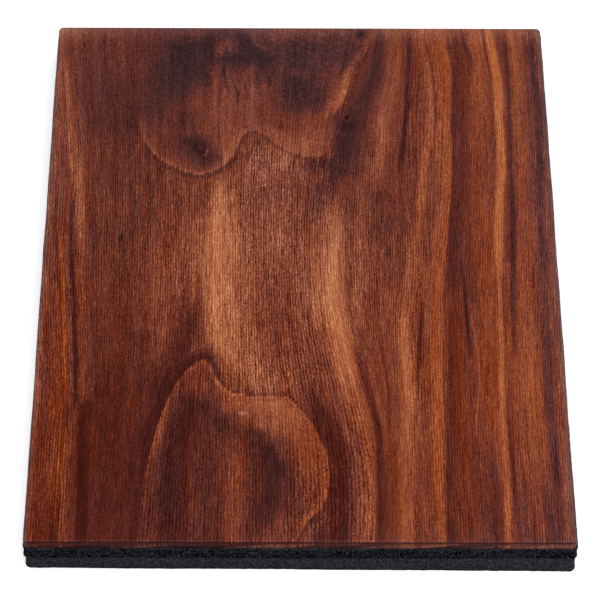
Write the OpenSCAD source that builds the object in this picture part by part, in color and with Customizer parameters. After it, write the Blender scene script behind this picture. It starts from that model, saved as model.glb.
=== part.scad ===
// Foot stomp box: a walnut plate on a foam layer and a rubber mat, with a piezo pickup glued
// under the plate and a 6.35 mm jack socket in the rear edge.
// Millimetres. +X is right, +Y is to the rear, +Z is up.
// The origin is on the floor, under the middle of the plate.

/* [Walnut plate] */
// Width of the plate, left to right
plate_w = 200; // [160:1:280]
// Length of the plate, front to rear
plate_l = 260; // [230:1:340]
// Thickness of the plate
plate_t = 4; // [3:0.1:10]
// Radius of the plate's corners, seen from above
plate_corner_r = 2; // [1.5:0.1:12]
// Radius of the plate's rounded upper edge
plate_edge_r = 0.8; // [0.3:0.05:1.2]

/* [Rubber layers] */
// Thickness of the dense mat that stands on the floor
mat_t = 8; // [7:0.1:14]
// Thickness of the soft foam between the mat and the plate
foam_t = 5; // [4:0.1:9]
// Thickness of each adhesive film
film_t = 0.15; // [0.05:0.01:0.4]
// How far the mat and the foam stand proud of the plate on each side
rubber_proud = 0.5; // [0:0.1:2]
// Radius of the corners of the mat and the foam
rubber_corner_r = 1.5; // [0.5:0.1:10]
// How far a stomp presses the plate into the foam
press_travel = 1; // [0.2:0.1:1.5]

/* [Cut-outs in the rubber] */
// Clearance beside the jack bracket
notch_gap = 0.5; // [0.3:0.1:3]
// Room for the leads in front of the jack bracket
lead_room = 8; // [6:0.5:20]
// Clearance round the piezo disc
piezo_gap = 2.5; // [1:0.1:6]
// Width of the channel for the leads
channel_w = 8; // [7.5:0.1:14]

/* [Piezo pickup] */
// Distance of the pickup from the plate's middle, to the rear
piezo_y = 0; // [-60:1:30]
// Diameter of the brass disc
brass_d = 20; // [20:0.5:27]
// Thickness of the brass disc
brass_t = 0.3; // [0.1:0.05:0.5]
// Diameter of the ceramic disc
ceramic_d = 14; // [12:0.1:14.5]
// Thickness of the ceramic disc
ceramic_t = 0.25; // [0.1:0.05:0.5]
// Width of the bare rim of ceramic round the electrode
electrode_rim = 0.6; // [0.3:0.1:1.5]
// Thickness of the silvered electrode
electrode_t = 0.05; // [0.02:0.01:0.1]
// Thickness of the glue under the brass disc
glue_t = 0.1; // [0.05:0.01:0.3]
// Height of a solder joint on the pickup
solder_h = 0.9; // [0.5:0.1:1.2]
// Radius of a solder joint at its foot
solder_foot_r = 1.2; // [1:0.1:1.4]
// How far a solder joint reaches past the lead that ends on it
solder_rim = 0.1; // [0.05:0.05:0.3]
// Distance of the hot joint from the middle of the pickup, to the right and to the rear
hot_joint = [2, 3]; // [0:0.1:4]
// Distance of the joint on the rim from the middle of the pickup, to the left
rim_joint_x = 2.6; // [2:0.1:5]

/* [Leads] */
// Diameter of an insulated lead
lead_d = 1.3; // [0.8:0.1:1.4]
// Gap between the two leads in the channel
lead_gap = 0.2; // [0.1:0.05:0.5]
// Gap between a lead and the plate above it
lead_air = 0.15; // [0.05:0.05:0.4]
// Thickness of the tape over the leads
tape_t = 0.2; // [0.1:0.05:0.4]
// Length of a strip of tape along the leads
tape_l = 12; // [5:1:20]
// Width of the tape glued to the plate on each side
tape_foot = 1.9; // [1:0.1:2]

/* [Jack bracket] */
// Width of the bracket
bracket_w = 24; // [23:0.5:40]
// Thickness of the bracket's sheet
bracket_t = 1.5; // [1:0.1:2]
// Length of the leg under the plate
bracket_leg_l = 32; // [30:1:45]
// Height of the bracket's lower edge over the floor with the plate pressed down
floor_gap = 1; // [0.3:0.1:2]
// Diameter of a screw's shank
screw_d = 2.2; // [1.6:0.1:3]
// Diameter of a screw's countersunk head
screw_head_d = 4.2; // [3.2:0.1:5.5]
// Height of the cone of a screw's head
screw_head_h = 1; // [0.6:0.1:1]
// Wood left over the screw's tip
screw_cover = 1.2; // [0.8:0.1:2]
// Distance of the screws from the bracket's sides
screw_edge_x = 4; // [3:0.1:6]
// Distance of the screws from the bracket's ends
screw_edge_y = 6; // [3.5:0.1:8]

/* [Jack socket] */
// Diameter of the socket's bore, for a 6.35 mm plug
bore_d = 6.5; // [6.4:0.05:6.55]
// Diameter of the bushing's thread
bushing_d = 9; // [8.6:0.1:9.5]
// How far the bushing stands out of the nut
bushing_proud = 0.6; // [0.5:0.1:2]
// Depth of the bevel at the mouth of the bore
mouth_bevel = 0.4; // [0.1:0.05:0.5]
// Distance across the flats of the nut
nut_af = 11; // [10.6:0.1:12]
// Thickness of the nut
nut_t = 2.2; // [1.5:0.1:4]
// Depth of the bevel on the corners of the nut
nut_bevel = 0.4; // [0.1:0.05:0.6]
// Diameter of the washer
washer_d = 11.6; // [11:0.1:12.4]
// Thickness of the washer
washer_t = 0.8; // [0.4:0.1:1.5]
// Depth of the step from the thread to the swaged spigot
spigot_step = 0.6; // [0.4:0.05:0.8]
// How far the swaged lip grips over the spigot
swage_grip = 0.4; // [0.2:0.05:0.5]
// Thickness of the swaged lip
swage_t = 0.4; // [0.2:0.05:0.8]
// Thickness of the jack's sheet-metal frame
frame_t = 1; // [0.8:0.1:1.5]
// Height of the jack's frame
frame_h = 9; // [8.8:0.1:9.6]
// Length of the frame's arm beside the plug
arm_l = 10; // [9:0.5:12]
// Gap between the bushing's thread and the frame's arm
arm_gap = 0.5; // [0.3:0.1:1]

/* [Contact stack] */
// Length of the stack on the arm
stack_l = 8; // [7:0.5:8.5]
// Thickness of an insulating wafer
wafer_t = 1; // [0.6:0.1:1.2]
// Thickness of the contact sheet
contact_t = 0.4; // [0.2:0.05:0.5]
// Width of the terminals in the stack
terminal_h = 8; // [7:0.1:8.5]
// Length of a solder lug
lug_l = 6; // [4:0.5:7]
// Width of a solder lug
lug_w = 2; // [1.5:0.1:2.2]
// Distance of a solder lug from the edge of the stack
lug_edge = 0.1; // [0:0.05:0.4]
// Length of a solder joint on a lug
lug_solder_l = 1.5; // [1:0.1:2]
// Radius of a solder joint on a lug
lug_solder_r = 0.95; // [0.9:0.05:1.05]
// Diameter of a rivet
rivet_d = 1.8; // [1.2:0.1:2]
// Diameter of a rivet's head
rivet_head_d = 3.2; // [2.6:0.1:3.4]
// Thickness of a rivet's head
rivet_head_t = 0.5; // [0.3:0.05:0.8]
// Distance between the rivets
rivet_pitch = 4; // [3.6:0.1:4.4]
// Clearance round the rivets in the live terminal
rivet_insulation = 0.6; // [0.4:0.05:0.8]
// Width of the tip spring
spring_w = 4; // [3:0.1:4.2]
// Distance of the plug's tip groove from the socket's mouth
groove_depth = 27; // [26:0.1:28]
// Distance of the spring's nose from the plug's axis at rest
nose_x = 1.9; // [1.5:0.1:2.2]
// Length of the flared end past the nose
flare_l = 3.2; // [2:0.1:4]
// How far the flared end stands back from the nose
flare_x = 1.7; // [1:0.1:2.5]

/* [Fits] */
// Clearance of a part that is screwed, riveted or swaged into a hole
fit_gap = 0.03; // [0.01:0.01:0.1]
// Clearance between parts that pass without touching
pass_gap = 0.2; // [0.1:0.05:0.4]
// Clearance at the bending line of the tip spring
flex_gap = 0.05; // [0.03:0.01:0.1]

/* [Hidden] */
$fn = 64;
lead_sides = 8;
lead_steps = 4;
over = 1;

// Levels of the layers, from the floor up
mat_film_z = mat_t;
foam_z = mat_film_z + film_t;
plate_film_z = foam_z + foam_t;
plate_z = plate_film_z + film_t;

// Outline of the rubber layers and their cut-outs
rubber_w = plate_w + 2 * rubber_proud;
rubber_l = plate_l + 2 * rubber_proud;
rear_y = plate_l / 2;
notch_w = bracket_w + 2 * notch_gap;
notch_y = rear_y - bracket_leg_l - lead_room;
piezo_hole_r = brass_d / 2 + piezo_gap;

// Levels of the pickup, from the plate down
brass_z = plate_z - glue_t - brass_t;
ceramic_z = brass_z - ceramic_t;
electrode_z = ceramic_z - electrode_t;
electrode_d = ceramic_d - 2 * electrode_rim;
solder_end_r = lead_d / 2 + solder_rim;
rim_middle_r = (brass_d + ceramic_d) / 4;
rim_joint_y = sqrt(rim_middle_r * rim_middle_r - rim_joint_x * rim_joint_x);
rim_solder = [-rim_joint_x, piezo_y + rim_joint_y, brass_z - solder_h];
hot_solder = [hot_joint[0], piezo_y + hot_joint[1], electrode_z - solder_h];

// Jack: axis, mouth and the planes of its frame
axis_z = plate_z - bracket_t - pass_gap - frame_h / 2;
bracket_z = press_travel + floor_gap;
frame_y = rear_y - bracket_t;
mouth_y = rear_y + washer_t + nut_t + bushing_proud;
spigot_d = bushing_d - 2 * spigot_step;
swage_d = spigot_d + 2 * swage_grip;
arm_x = bushing_d / 2 + arm_gap;
stack_y = frame_y - frame_t - arm_l;

// Contact stack, from the arm outwards
sleeve_x = arm_x + frame_t;
wafer_in_x = sleeve_x + contact_t;
tip_x = wafer_in_x + wafer_t;
wafer_out_x = tip_x + contact_t;
stack_end_x = wafer_out_x + wafer_t;
lug_end_y = stack_y - lug_l;
lug_z = frame_h / 2 - lug_edge - lug_w / 2;
hinge_x = tip_x + contact_t / 2;
hinge_y = stack_y - flex_gap - contact_t / 2;
nose_y = mouth_y - groove_depth;

// Screws of the bracket
screw_bite = plate_t - screw_cover;
screw_x = bracket_w / 2 - screw_edge_x;
screw_ys = [rear_y - screw_edge_y, rear_y - bracket_leg_l + screw_edge_y];

// Routes of the leads, from the pickup to the lugs
lead_x = (lead_d + lead_gap) / 2;
lead_z = plate_z - lead_air - lead_d / 2;
lead_end_y = lug_end_y - lug_solder_l;
tape_ys = [for (share = [0.4, 0.75]) piezo_y + share * (notch_y - piezo_y)];
hot_route = [
    hot_solder,
    hot_solder + [0, 0, -0.6],
    hot_solder + [-0.1, 1.2, -1.4],
    hot_solder + [-0.4, 4, -1.2],
    [lead_x + 0.3, piezo_y + 12, lead_z - 0.8],
    [lead_x, piezo_y + 18, lead_z],
    [lead_x, piezo_y + 23, lead_z],
    [lead_x, (piezo_y + notch_y) / 2, lead_z],
    [lead_x, notch_y - 9, lead_z],
    [lead_x, notch_y - 3, lead_z],
    [lead_x + 0.4, notch_y + 2, lead_z - 1.4],
    [lead_x + 1.6, notch_y + 5.5, (lead_z + axis_z - lug_z) / 2],
    [hinge_x / 2 + 0.6, notch_y + 9.5, axis_z - lug_z + 0.6],
    [hinge_x - 0.6, lead_end_y - 5.5, axis_z - lug_z],
    [hinge_x, lead_end_y - 1.5, axis_z - lug_z],
    [hinge_x, lead_end_y, axis_z - lug_z]
];
ground_route = [
    rim_solder,
    rim_solder + [0, 0, -0.6],
    rim_solder + [0.1, 1.2, -1.4],
    rim_solder + [0.5, 3, -1.3],
    [-lead_x - 0.3, piezo_y + 15, lead_z - 0.5],
    [-lead_x, piezo_y + 19, lead_z],
    [-lead_x, piezo_y + 24, lead_z],
    [-lead_x, (piezo_y + notch_y) / 2, lead_z],
    [-lead_x, notch_y - 9, lead_z],
    [-lead_x, notch_y - 4, lead_z],
    [-lead_x + 0.3, notch_y + 3, lead_z - 1.4],
    [sleeve_x / 3, notch_y + 9, axis_z + lug_z + 0.1],
    [sleeve_x - 0.8, lead_end_y - 5, axis_z + lug_z],
    [sleeve_x + contact_t / 2, lead_end_y - 1.5, axis_z + lug_z],
    [sleeve_x + contact_t / 2, lead_end_y, axis_z + lug_z]
];

// Points on a smooth curve through a route
function curve_point(a, b, c, d, t) =
    0.5 * (2 * b + (c - a) * t + (2 * a - 5 * b + 4 * c - d) * t * t + (3 * b - a - 3 * c + d) * t * t * t);

function smooth_route(route, steps) = [
    for (i = [0 : len(route) - 2])
        for (k = [0 : steps - 1])
            curve_point(
                route[max(i - 1, 0)], route[i], route[i + 1], route[min(i + 2, len(route) - 1)], k / steps
            ),
    route[len(route) - 1]
];

function unit(v) = v / norm(v);

// Direction of a curve at one of its points; both ends keep the direction of the route there
function direction(points, route, i) =
    i == 0 ? unit(route[1] - route[0]) :
    i == len(points) - 1 ? unit(route[len(route) - 1] - route[len(route) - 2]) :
    unit(points[i + 1] - points[i - 1]);

function ring(centre, along, radius, sides) =
    let (side = unit(cross(along, [1, 0, 0])), up = cross(side, along))
    [for (k = [0 : sides - 1]) centre + radius * (cos(360 * k / sides) * side + sin(360 * k / sides) * up)];

// A round lead along a route, closed at both ends
module lead(route) {
    points = smooth_route(route, lead_steps);
    count = len(points);
    sides = lead_sides;
    rings = [for (i = [0 : count - 1]) each ring(points[i], direction(points, route, i), lead_d / 2, sides)];
    walls = [
        for (i = [0 : count - 2])
            for (k = [0 : sides - 1])
                let (a = i * sides + k, b = i * sides + (k + 1) % sides)
                each [[a, b, b + sides], [a, b + sides, a + sides]]
    ];
    first_cap = [for (k = [1 : sides - 2]) [0, k + 1, k]];
    last = (count - 1) * sides;
    last_cap = [for (k = [1 : sides - 2]) [last, last + k, last + k + 1]];
    polyhedron(points = rings, faces = concat(walls, first_cap, last_cap), convexity = 10);
}

// Flat rectangle with round corners
module rounded_rectangle(w, l, r) {
    square([w - 2 * r, l], center = true);
    square([w, l - 2 * r], center = true);
    for (x = [-1, 1])
        for (y = [-1, 1])
            translate([x * (w / 2 - r), y * (l / 2 - r)])
                circle(r);
}

// Outline of the rubber with the notch for the jack
module rubber_outline() {
    difference() {
        rounded_rectangle(rubber_w, rubber_l, rubber_corner_r);
        translate([-notch_w / 2, notch_y])
            square([notch_w, rubber_l / 2 - notch_y + over]);
    }
}

// Outline of the foam, which is also cut out round the pickup and along the leads
module foam_outline() {
    difference() {
        rubber_outline();
        translate([0, piezo_y])
            circle(piezo_hole_r);
        translate([-channel_w / 2, piezo_y])
            square([channel_w, notch_y - piezo_y + over]);
    }
}

module layer(z, t) {
    translate([0, 0, z])
        linear_extrude(height = t)
            children();
}

// Round piece along the jack's axis, from y0 to y1
module jack_round(y0, y1, d) {
    translate([0, y0, axis_z])
        rotate([-90, 0, 0])
            cylinder(h = y1 - y0, d = d);
}

// Cone along the jack's axis, from y0 to y1
module jack_cone(y0, y1, d0, d1) {
    translate([0, y0, axis_z])
        rotate([-90, 0, 0])
            cylinder(h = y1 - y0, d1 = d0, d2 = d1);
}

// Round piece across the contact stack, from x0 to x1
module stack_round(x0, x1, y, d) {
    translate([x0, y, axis_z])
        rotate([0, 90, 0])
            cylinder(h = x1 - x0, d = d);
}

// Sheet of the contact stack, drilled for the rivets
module stack_sheet(x, t, h, hole_d) {
    difference() {
        translate([x, stack_y, axis_z - h / 2])
            cube([t, stack_l, h]);
        rivet_places()
            stack_round(x - over, x + t + over, 0, hole_d);
    }
}

module rivet_places() {
    for (side = [-1, 1])
        translate([0, stack_y + stack_l / 2 + side * rivet_pitch / 2, 0])
            children();
}

module screw_places() {
    for (x = [-screw_x, screw_x])
        for (y = screw_ys)
            translate([x, y, plate_z])
                children();
}

// Section that a round-over cutter takes off the plate's upper edge, from its outer face inwards
module edge_section() {
    difference() {
        translate([-plate_edge_r, plate_t - plate_edge_r])
            square([plate_edge_r + over, plate_edge_r + over]);
        translate([-plate_edge_r, plate_t - plate_edge_r])
            circle(plate_edge_r);
    }
}

// One side and the corner after it, of a plate turned so that the side faces +X
module edge_cut(half_w, half_l) {
    straight = 2 * (half_l - plate_corner_r);
    translate([half_w, straight / 2, 0])
        rotate([90, 0, 0])
            linear_extrude(height = straight)
                edge_section();
    translate([half_w - plate_corner_r, half_l - plate_corner_r, 0])
        rotate_extrude(angle = 90)
            translate([plate_corner_r, 0])
                edge_section();
}

module base_mat() {
    color([0.15, 0.15, 0.16])
        layer(0, mat_t)
            rubber_outline();
}

module mat_bond_film() {
    color([0.55, 0.5, 0.4])
        layer(mat_film_z, film_t)
            rubber_outline();
}

module foam_layer() {
    color([0.09, 0.09, 0.1])
        layer(foam_z, foam_t)
            foam_outline();
}

module plate_bond_film() {
    color([0.55, 0.5, 0.4])
        layer(plate_film_z, film_t)
            intersection() {
                foam_outline();
                rounded_rectangle(plate_w, plate_l, plate_corner_r);
            }
}

module walnut_top() {
    color([0.42, 0.22, 0.14])
        difference() {
            translate([0, 0, plate_z])
                difference() {
                    linear_extrude(height = plate_t)
                        rounded_rectangle(plate_w, plate_l, plate_corner_r);
                    for (turn = [0, 180])
                        rotate([0, 0, turn])
                            edge_cut(plate_w / 2, plate_l / 2);
                    for (turn = [90, 270])
                        rotate([0, 0, turn])
                            edge_cut(plate_l / 2, plate_w / 2);
                }
            screw_places()
                translate([0, 0, -over])
                    cylinder(h = over + screw_bite + fit_gap, d = screw_d + 2 * fit_gap);
        }
}

module piezo_bond() {
    color([0.8, 0.75, 0.6])
        translate([0, piezo_y, plate_z - glue_t])
            cylinder(h = glue_t, d = brass_d);
}

module piezo_brass_disc() {
    color([0.8, 0.64, 0.3])
        translate([0, piezo_y, brass_z])
            cylinder(h = brass_t, d = brass_d);
}

module piezo_ceramic() {
    color([0.85, 0.82, 0.75])
        translate([0, piezo_y, ceramic_z])
            cylinder(h = ceramic_t, d = ceramic_d);
}

module piezo_electrode() {
    color([0.78, 0.78, 0.78])
        translate([0, piezo_y, electrode_z])
            cylinder(h = electrode_t, d = electrode_d);
}

module piezo_solder() {
    color([0.72, 0.72, 0.74])
        for (spot = [hot_solder, rim_solder])
            translate(spot)
                cylinder(h = solder_h, r1 = solder_end_r, r2 = solder_foot_r);
}

module hot_lead() {
    color([0.7, 0.08, 0.06])
        lead(hot_route);
}

module ground_lead() {
    color([0.08, 0.08, 0.08])
        lead(ground_route);
}

module lead_tapes() {
    half_in = lead_x + lead_d / 2 + lead_gap / 2;
    half_out = half_in + tape_t;
    depth = lead_air + lead_d + lead_gap / 2;
    color([0.2, 0.2, 0.2])
        for (y = tape_ys)
            translate([0, y + tape_l / 2, plate_z])
                rotate([90, 0, 0])
                    linear_extrude(height = tape_l)
                        difference() {
                            union() {
                                translate([-half_out - tape_foot, -tape_t])
                                    square([2 * (half_out + tape_foot), tape_t]);
                                translate([-half_out, -depth - tape_t])
                                    square([2 * half_out, depth + tape_t]);
                            }
                            translate([-half_in, -depth])
                                square([2 * half_in, depth + over]);
                        }
}

module jack_bracket() {
    color([0.12, 0.12, 0.13])
        difference() {
            union() {
                translate([-bracket_w / 2, rear_y - bracket_t, bracket_z])
                    cube([bracket_w, bracket_t, plate_z - bracket_z]);
                translate([-bracket_w / 2, rear_y - bracket_leg_l, plate_z - bracket_t])
                    cube([bracket_w, bracket_leg_l, bracket_t]);
            }
            jack_round(rear_y - bracket_t - over, rear_y + over, bushing_d + 2 * fit_gap);
            screw_places()
                translate([0, 0, -bracket_t]) {
                    translate([0, 0, -over])
                        cylinder(h = bracket_t + 2 * over, d = screw_d + 2 * fit_gap);
                    cylinder(
                        h = screw_head_h,
                        d1 = screw_head_d + 2 * fit_gap,
                        d2 = screw_d + 2 * fit_gap
                    );
                }
        }
}

module bracket_screws() {
    slot_w = screw_head_d / 6;
    slot_h = screw_head_h / 2;
    color([0.75, 0.75, 0.77])
        screw_places()
            translate([0, 0, -bracket_t])
                difference() {
                    union() {
                        cylinder(h = screw_head_h, d1 = screw_head_d, d2 = screw_d);
                        cylinder(h = bracket_t + screw_bite, d = screw_d);
                    }
                    for (turn = [0, 90])
                        rotate([0, 0, turn])
                            translate([-screw_d / 2, -slot_w / 2, -over])
                                cube([screw_d, slot_w, over + slot_h]);
                }
}

module jack_bushing() {
    color([0.8, 0.8, 0.82])
        difference() {
            union() {
                jack_round(frame_y, mouth_y, bushing_d);
                jack_round(frame_y - frame_t, frame_y, spigot_d);
                jack_round(frame_y - frame_t - swage_t, frame_y - frame_t, swage_d);
            }
            jack_round(frame_y - frame_t - swage_t - over, mouth_y + over, bore_d);
            jack_cone(mouth_y - mouth_bevel, mouth_y + over, bore_d, bore_d + 2 * (mouth_bevel + over));
        }
}

module jack_washer() {
    color([0.78, 0.78, 0.8])
        difference() {
            jack_round(rear_y, rear_y + washer_t, washer_d);
            jack_round(rear_y - over, rear_y + washer_t + over, bushing_d + 2 * fit_gap);
        }
}

module jack_nut() {
    nut_y = rear_y + washer_t;
    corner_d = nut_af / cos(30);
    bevel_y = nut_y + nut_t - nut_bevel;
    color([0.8, 0.8, 0.82])
        difference() {
            intersection() {
                translate([0, nut_y, axis_z])
                    rotate([-90, 0, 0])
                        cylinder(h = nut_t, d = corner_d, $fn = 6);
                union() {
                    jack_round(nut_y - over, bevel_y, corner_d + over);
                    jack_cone(bevel_y, nut_y + nut_t, corner_d, corner_d - 2 * nut_bevel / tan(30));
                }
            }
            jack_round(nut_y - over, nut_y + nut_t + over, bushing_d + 2 * fit_gap);
        }
}

module jack_frame() {
    color([0.7, 0.7, 0.68])
        difference() {
            union() {
                translate([-arm_x, frame_y - frame_t, axis_z - frame_h / 2])
                    cube([2 * arm_x + frame_t, frame_t, frame_h]);
                translate([arm_x, stack_y, axis_z - frame_h / 2])
                    cube([frame_t, arm_l + frame_t, frame_h]);
            }
            jack_round(frame_y - frame_t - over, frame_y + over, spigot_d + 2 * fit_gap);
            rivet_places()
                stack_round(arm_x - over, sleeve_x + over, 0, rivet_d + 2 * fit_gap);
        }
}

// Terminal of the stack with its solder lug on one side of the axis
module terminal(x, side) {
    lug_y = lug_end_y + lug_w / 2;
    stack_sheet(
        x, contact_t, terminal_h,
        rivet_d + 2 * (side > 0 ? fit_gap : rivet_insulation)
    );
    difference() {
        translate([x, lug_end_y, axis_z + side * lug_z - lug_w / 2])
            cube([contact_t, lug_l, lug_w]);
        translate([0, 0, side * lug_z])
            stack_round(x - over, x + contact_t + over, lug_y, lug_w / 2);
    }
}

module sleeve_lug() {
    color([0.75, 0.72, 0.6])
        terminal(sleeve_x, 1);
}

module tip_terminal() {
    color([0.75, 0.72, 0.6])
        terminal(tip_x, -1);
}

// Free half of the tip contact, from the bending line to the flared end
module tip_spring() {
    bends = [[hinge_x, hinge_y], [nose_x + contact_t / 2, nose_y], [nose_x + flare_x, nose_y - flare_l]];
    color([0.78, 0.75, 0.62])
        translate([0, 0, axis_z - spring_w / 2]) {
            linear_extrude(height = spring_w)
                for (i = [0 : 1])
                    hull()
                        for (bend = [bends[i], bends[i + 1]])
                            translate(bend)
                                circle(d = contact_t, $fn = 24);
            translate([hinge_x, hinge_y, 0])
                cylinder(h = spring_w, d = contact_t);
        }
}

module stack_wafers() {
    color([0.45, 0.27, 0.14])
        for (x = [wafer_in_x, wafer_out_x])
            stack_sheet(x, wafer_t, frame_h, rivet_d + 2 * fit_gap);
}

module stack_rivets() {
    color([0.82, 0.7, 0.4])
        rivet_places() {
            stack_round(arm_x - rivet_head_t, arm_x, 0, rivet_head_d);
            stack_round(arm_x - rivet_head_t, stack_end_x + rivet_head_t, 0, rivet_d);
            stack_round(stack_end_x, stack_end_x + rivet_head_t, 0, rivet_head_d);
        }
}

module lug_solder() {
    color([0.72, 0.72, 0.74])
        for (spot = [[hinge_x, -lug_z], [sleeve_x + contact_t / 2, lug_z]])
            translate([spot[0], lead_end_y, axis_z + spot[1]])
                rotate([-90, 0, 0])
                    cylinder(h = lug_solder_l, r = lug_solder_r);
}

base_mat();
mat_bond_film();
foam_layer();
plate_bond_film();
walnut_top();
piezo_bond();
piezo_brass_disc();
piezo_ceramic();
piezo_electrode();
piezo_solder();
hot_lead();
ground_lead();
lead_tapes();
jack_bracket();
bracket_screws();
jack_bushing();
jack_washer();
jack_nut();
jack_frame();
sleeve_lug();
tip_terminal();
tip_spring();
stack_wafers();
stack_rivets();
lug_solder();
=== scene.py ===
import math

import bmesh
import bpy
import numpy as np
from mathutils import Matrix, Vector


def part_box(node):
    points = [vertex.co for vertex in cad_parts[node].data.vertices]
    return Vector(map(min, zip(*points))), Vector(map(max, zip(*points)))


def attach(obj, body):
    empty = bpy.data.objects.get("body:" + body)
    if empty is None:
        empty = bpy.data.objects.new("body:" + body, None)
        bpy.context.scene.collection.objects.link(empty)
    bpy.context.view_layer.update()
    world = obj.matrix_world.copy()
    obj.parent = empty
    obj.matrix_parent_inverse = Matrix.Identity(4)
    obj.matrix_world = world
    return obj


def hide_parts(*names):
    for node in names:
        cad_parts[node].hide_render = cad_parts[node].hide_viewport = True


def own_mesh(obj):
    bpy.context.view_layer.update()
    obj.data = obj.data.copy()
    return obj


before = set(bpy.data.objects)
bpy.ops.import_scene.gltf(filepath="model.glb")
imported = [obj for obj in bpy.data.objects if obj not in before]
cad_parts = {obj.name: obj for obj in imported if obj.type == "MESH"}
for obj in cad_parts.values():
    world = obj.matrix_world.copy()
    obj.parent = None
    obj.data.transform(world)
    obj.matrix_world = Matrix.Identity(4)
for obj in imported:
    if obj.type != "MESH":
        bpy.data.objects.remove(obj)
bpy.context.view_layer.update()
mm = 0.001
print("frame loaded,", len(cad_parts), "CAD nodes")


# Small helpers for colours and node trees

noShift = (0.0, 0.0, 0.0)
mixSockets = {"factor": 0, "first": 6, "second": 7, "result": 2}   # of a Mix node that is set to colour
noiseMiddle = 0.5   # value that noise swings round


def linear(rgb):
    # 0 to 255 screen colour to the linear RGBA that Blender's sockets take
    channels = []
    for value in rgb:
        share = value / 255.0
        channels.append(share / 12.92 if share <= 0.04045 else ((share + 0.055) / 1.055) ** 2.4)
    return (*channels, 1.0)


def addNode(tree, kind, inputs=None, **settings):
    # an input given as a socket is linked, any other value is set
    node = tree.nodes.new(kind)
    for key, value in settings.items():
        setattr(node, key, value)
    for key, value in (inputs or {}).items():
        if isinstance(value, bpy.types.NodeSocket):
            tree.links.new(value, node.inputs[key])
        else:
            node.inputs[key].default_value = value
    return node


def calc(tree, operation, first, second=0.0, clamp=False):
    node = addNode(tree, "ShaderNodeMath", {0: first, 1: second}, operation=operation, use_clamp=clamp)
    return node.outputs[0]


def weightedSum(tree, *parts):
    # each part is a value and its weight
    total = None
    for value, weight in parts:
        share = calc(tree, "MULTIPLY", value, weight)
        total = share if total is None else calc(tree, "ADD", total, share)
    return total


def remap(tree, value, low, high, newLow, newHigh):
    node = addNode(tree, "ShaderNodeMapRange", {"Value": value, "From Min": low, "From Max": high,
                                                "To Min": newLow, "To Max": newHigh})
    return node.outputs[0]


def colourRamp(tree, value, stops):
    node = addNode(tree, "ShaderNodeValToRGB", {"Fac": value})
    elements = node.color_ramp.elements
    while len(elements) < len(stops):
        elements.new(0.5)   # gets its place below
    for element, (place, rgb) in zip(elements, stops):
        element.position = place
        element.color = linear(rgb)
    return node.outputs["Color"]


def mixColour(tree, factor, first, second):
    node = addNode(tree, "ShaderNodeMix", {mixSockets["factor"]: factor, mixSockets["first"]: first,
                                           mixSockets["second"]: second}, data_type="RGBA")
    return node.outputs[mixSockets["result"]]


def noise(tree, vector, spec, unit=mm):
    # spec: cell along x, y and z in that unit, shift, detail and roughness
    cell, shift, detail, roughness = spec
    scale = tuple(1 / (size * unit) for size in cell)
    place = addNode(tree, "ShaderNodeMapping", {"Vector": vector, "Scale": scale, "Location": shift})
    node = addNode(tree, "ShaderNodeTexNoise", {"Vector": place.outputs["Vector"], "Scale": 1.0,
                                                "Detail": detail, "Roughness": roughness})
    return node.outputs["Fac"]


def newMaterial(name):
    material = bpy.data.materials.new(name)
    material.use_nodes = True
    tree = material.node_tree
    tree.nodes.clear()
    shader = addNode(tree, "ShaderNodeBsdfPrincipled")
    addNode(tree, "ShaderNodeOutputMaterial", {"Surface": shader.outputs[0]})
    return material, tree, shader


def dress(tree, shader, colour, roughness, height, depth, uniform):
    # colour, roughness and relief differ over the surface, the uniform values don't
    bump = addNode(tree, "ShaderNodeBump", {"Height": height, "Distance": depth, "Strength": 1.0})
    tree.links.new(colour, shader.inputs["Base Color"])
    tree.links.new(roughness, shader.inputs["Roughness"])
    tree.links.new(bump.outputs["Normal"], shader.inputs["Normal"])
    for socket, value in uniform.items():
        shader.inputs[socket].default_value = value


# Camera

photoCamera = {
    "place": (-5.02, -749.01, 904.51),   # mm
    "pitchDown": 50.473,                 # degrees, as the next two
    "yaw": 0.393,
    "roll": 0.449,
    "lens": 179.45,
    "sensor": 36.0,
}


def makeCamera(spec):
    pitch, yaw, roll = (math.radians(spec[key]) for key in ("pitchDown", "yaw", "roll"))
    ahead = Vector((math.sin(yaw) * math.cos(pitch), math.cos(yaw) * math.cos(pitch), -math.sin(pitch)))
    level = Vector((math.cos(yaw), -math.sin(yaw), 0.0))
    upright = level.cross(ahead)
    right = math.cos(roll) * level + math.sin(roll) * upright
    up = math.cos(roll) * upright - math.sin(roll) * level
    data = bpy.data.cameras.new("photoCamera")
    data.lens = spec["lens"]
    data.sensor_width = spec["sensor"]
    camera = bpy.data.objects.new("photoCamera", data)
    camera.matrix_world = Matrix.Translation(Vector(spec["place"]) * mm) @ Matrix((
        (right.x, up.x, -ahead.x, 0.0),
        (right.y, up.y, -ahead.y, 0.0),
        (right.z, up.z, -ahead.z, 0.0),
        (0.0, 0.0, 0.0, 1.0),
    ))
    bpy.context.scene.collection.objects.link(camera)
    bpy.context.scene.camera = camera


makeCamera(photoCamera)
print("camera placed")


# Studio: pale floor, even world light and soft area lamps

studio = {
    "floorSpan": 8.0,               # m
    "floorColour": (246, 246, 246),
    "floorDrop": 0.0001,            # m, so that floor and mat don't share a plane
    "floorLift": 0.45,              # added to the floor where it is seen, to read as white
    "liftFade": 0.012,              # m inside the part's footprint over which that fades out
    "worldColour": (255, 255, 255),
    "worldStrength": 0.16,
    "lamps": {                      # place (m), width (m) and power (W), all turned to the part
        "overheadSoftbox": ((0.15, -0.35, 1.5), 1.7, 25.0),
        "frontFill": ((0.6, -1.4, 0.75), 1.0, 4.5),
    },
}


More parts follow.
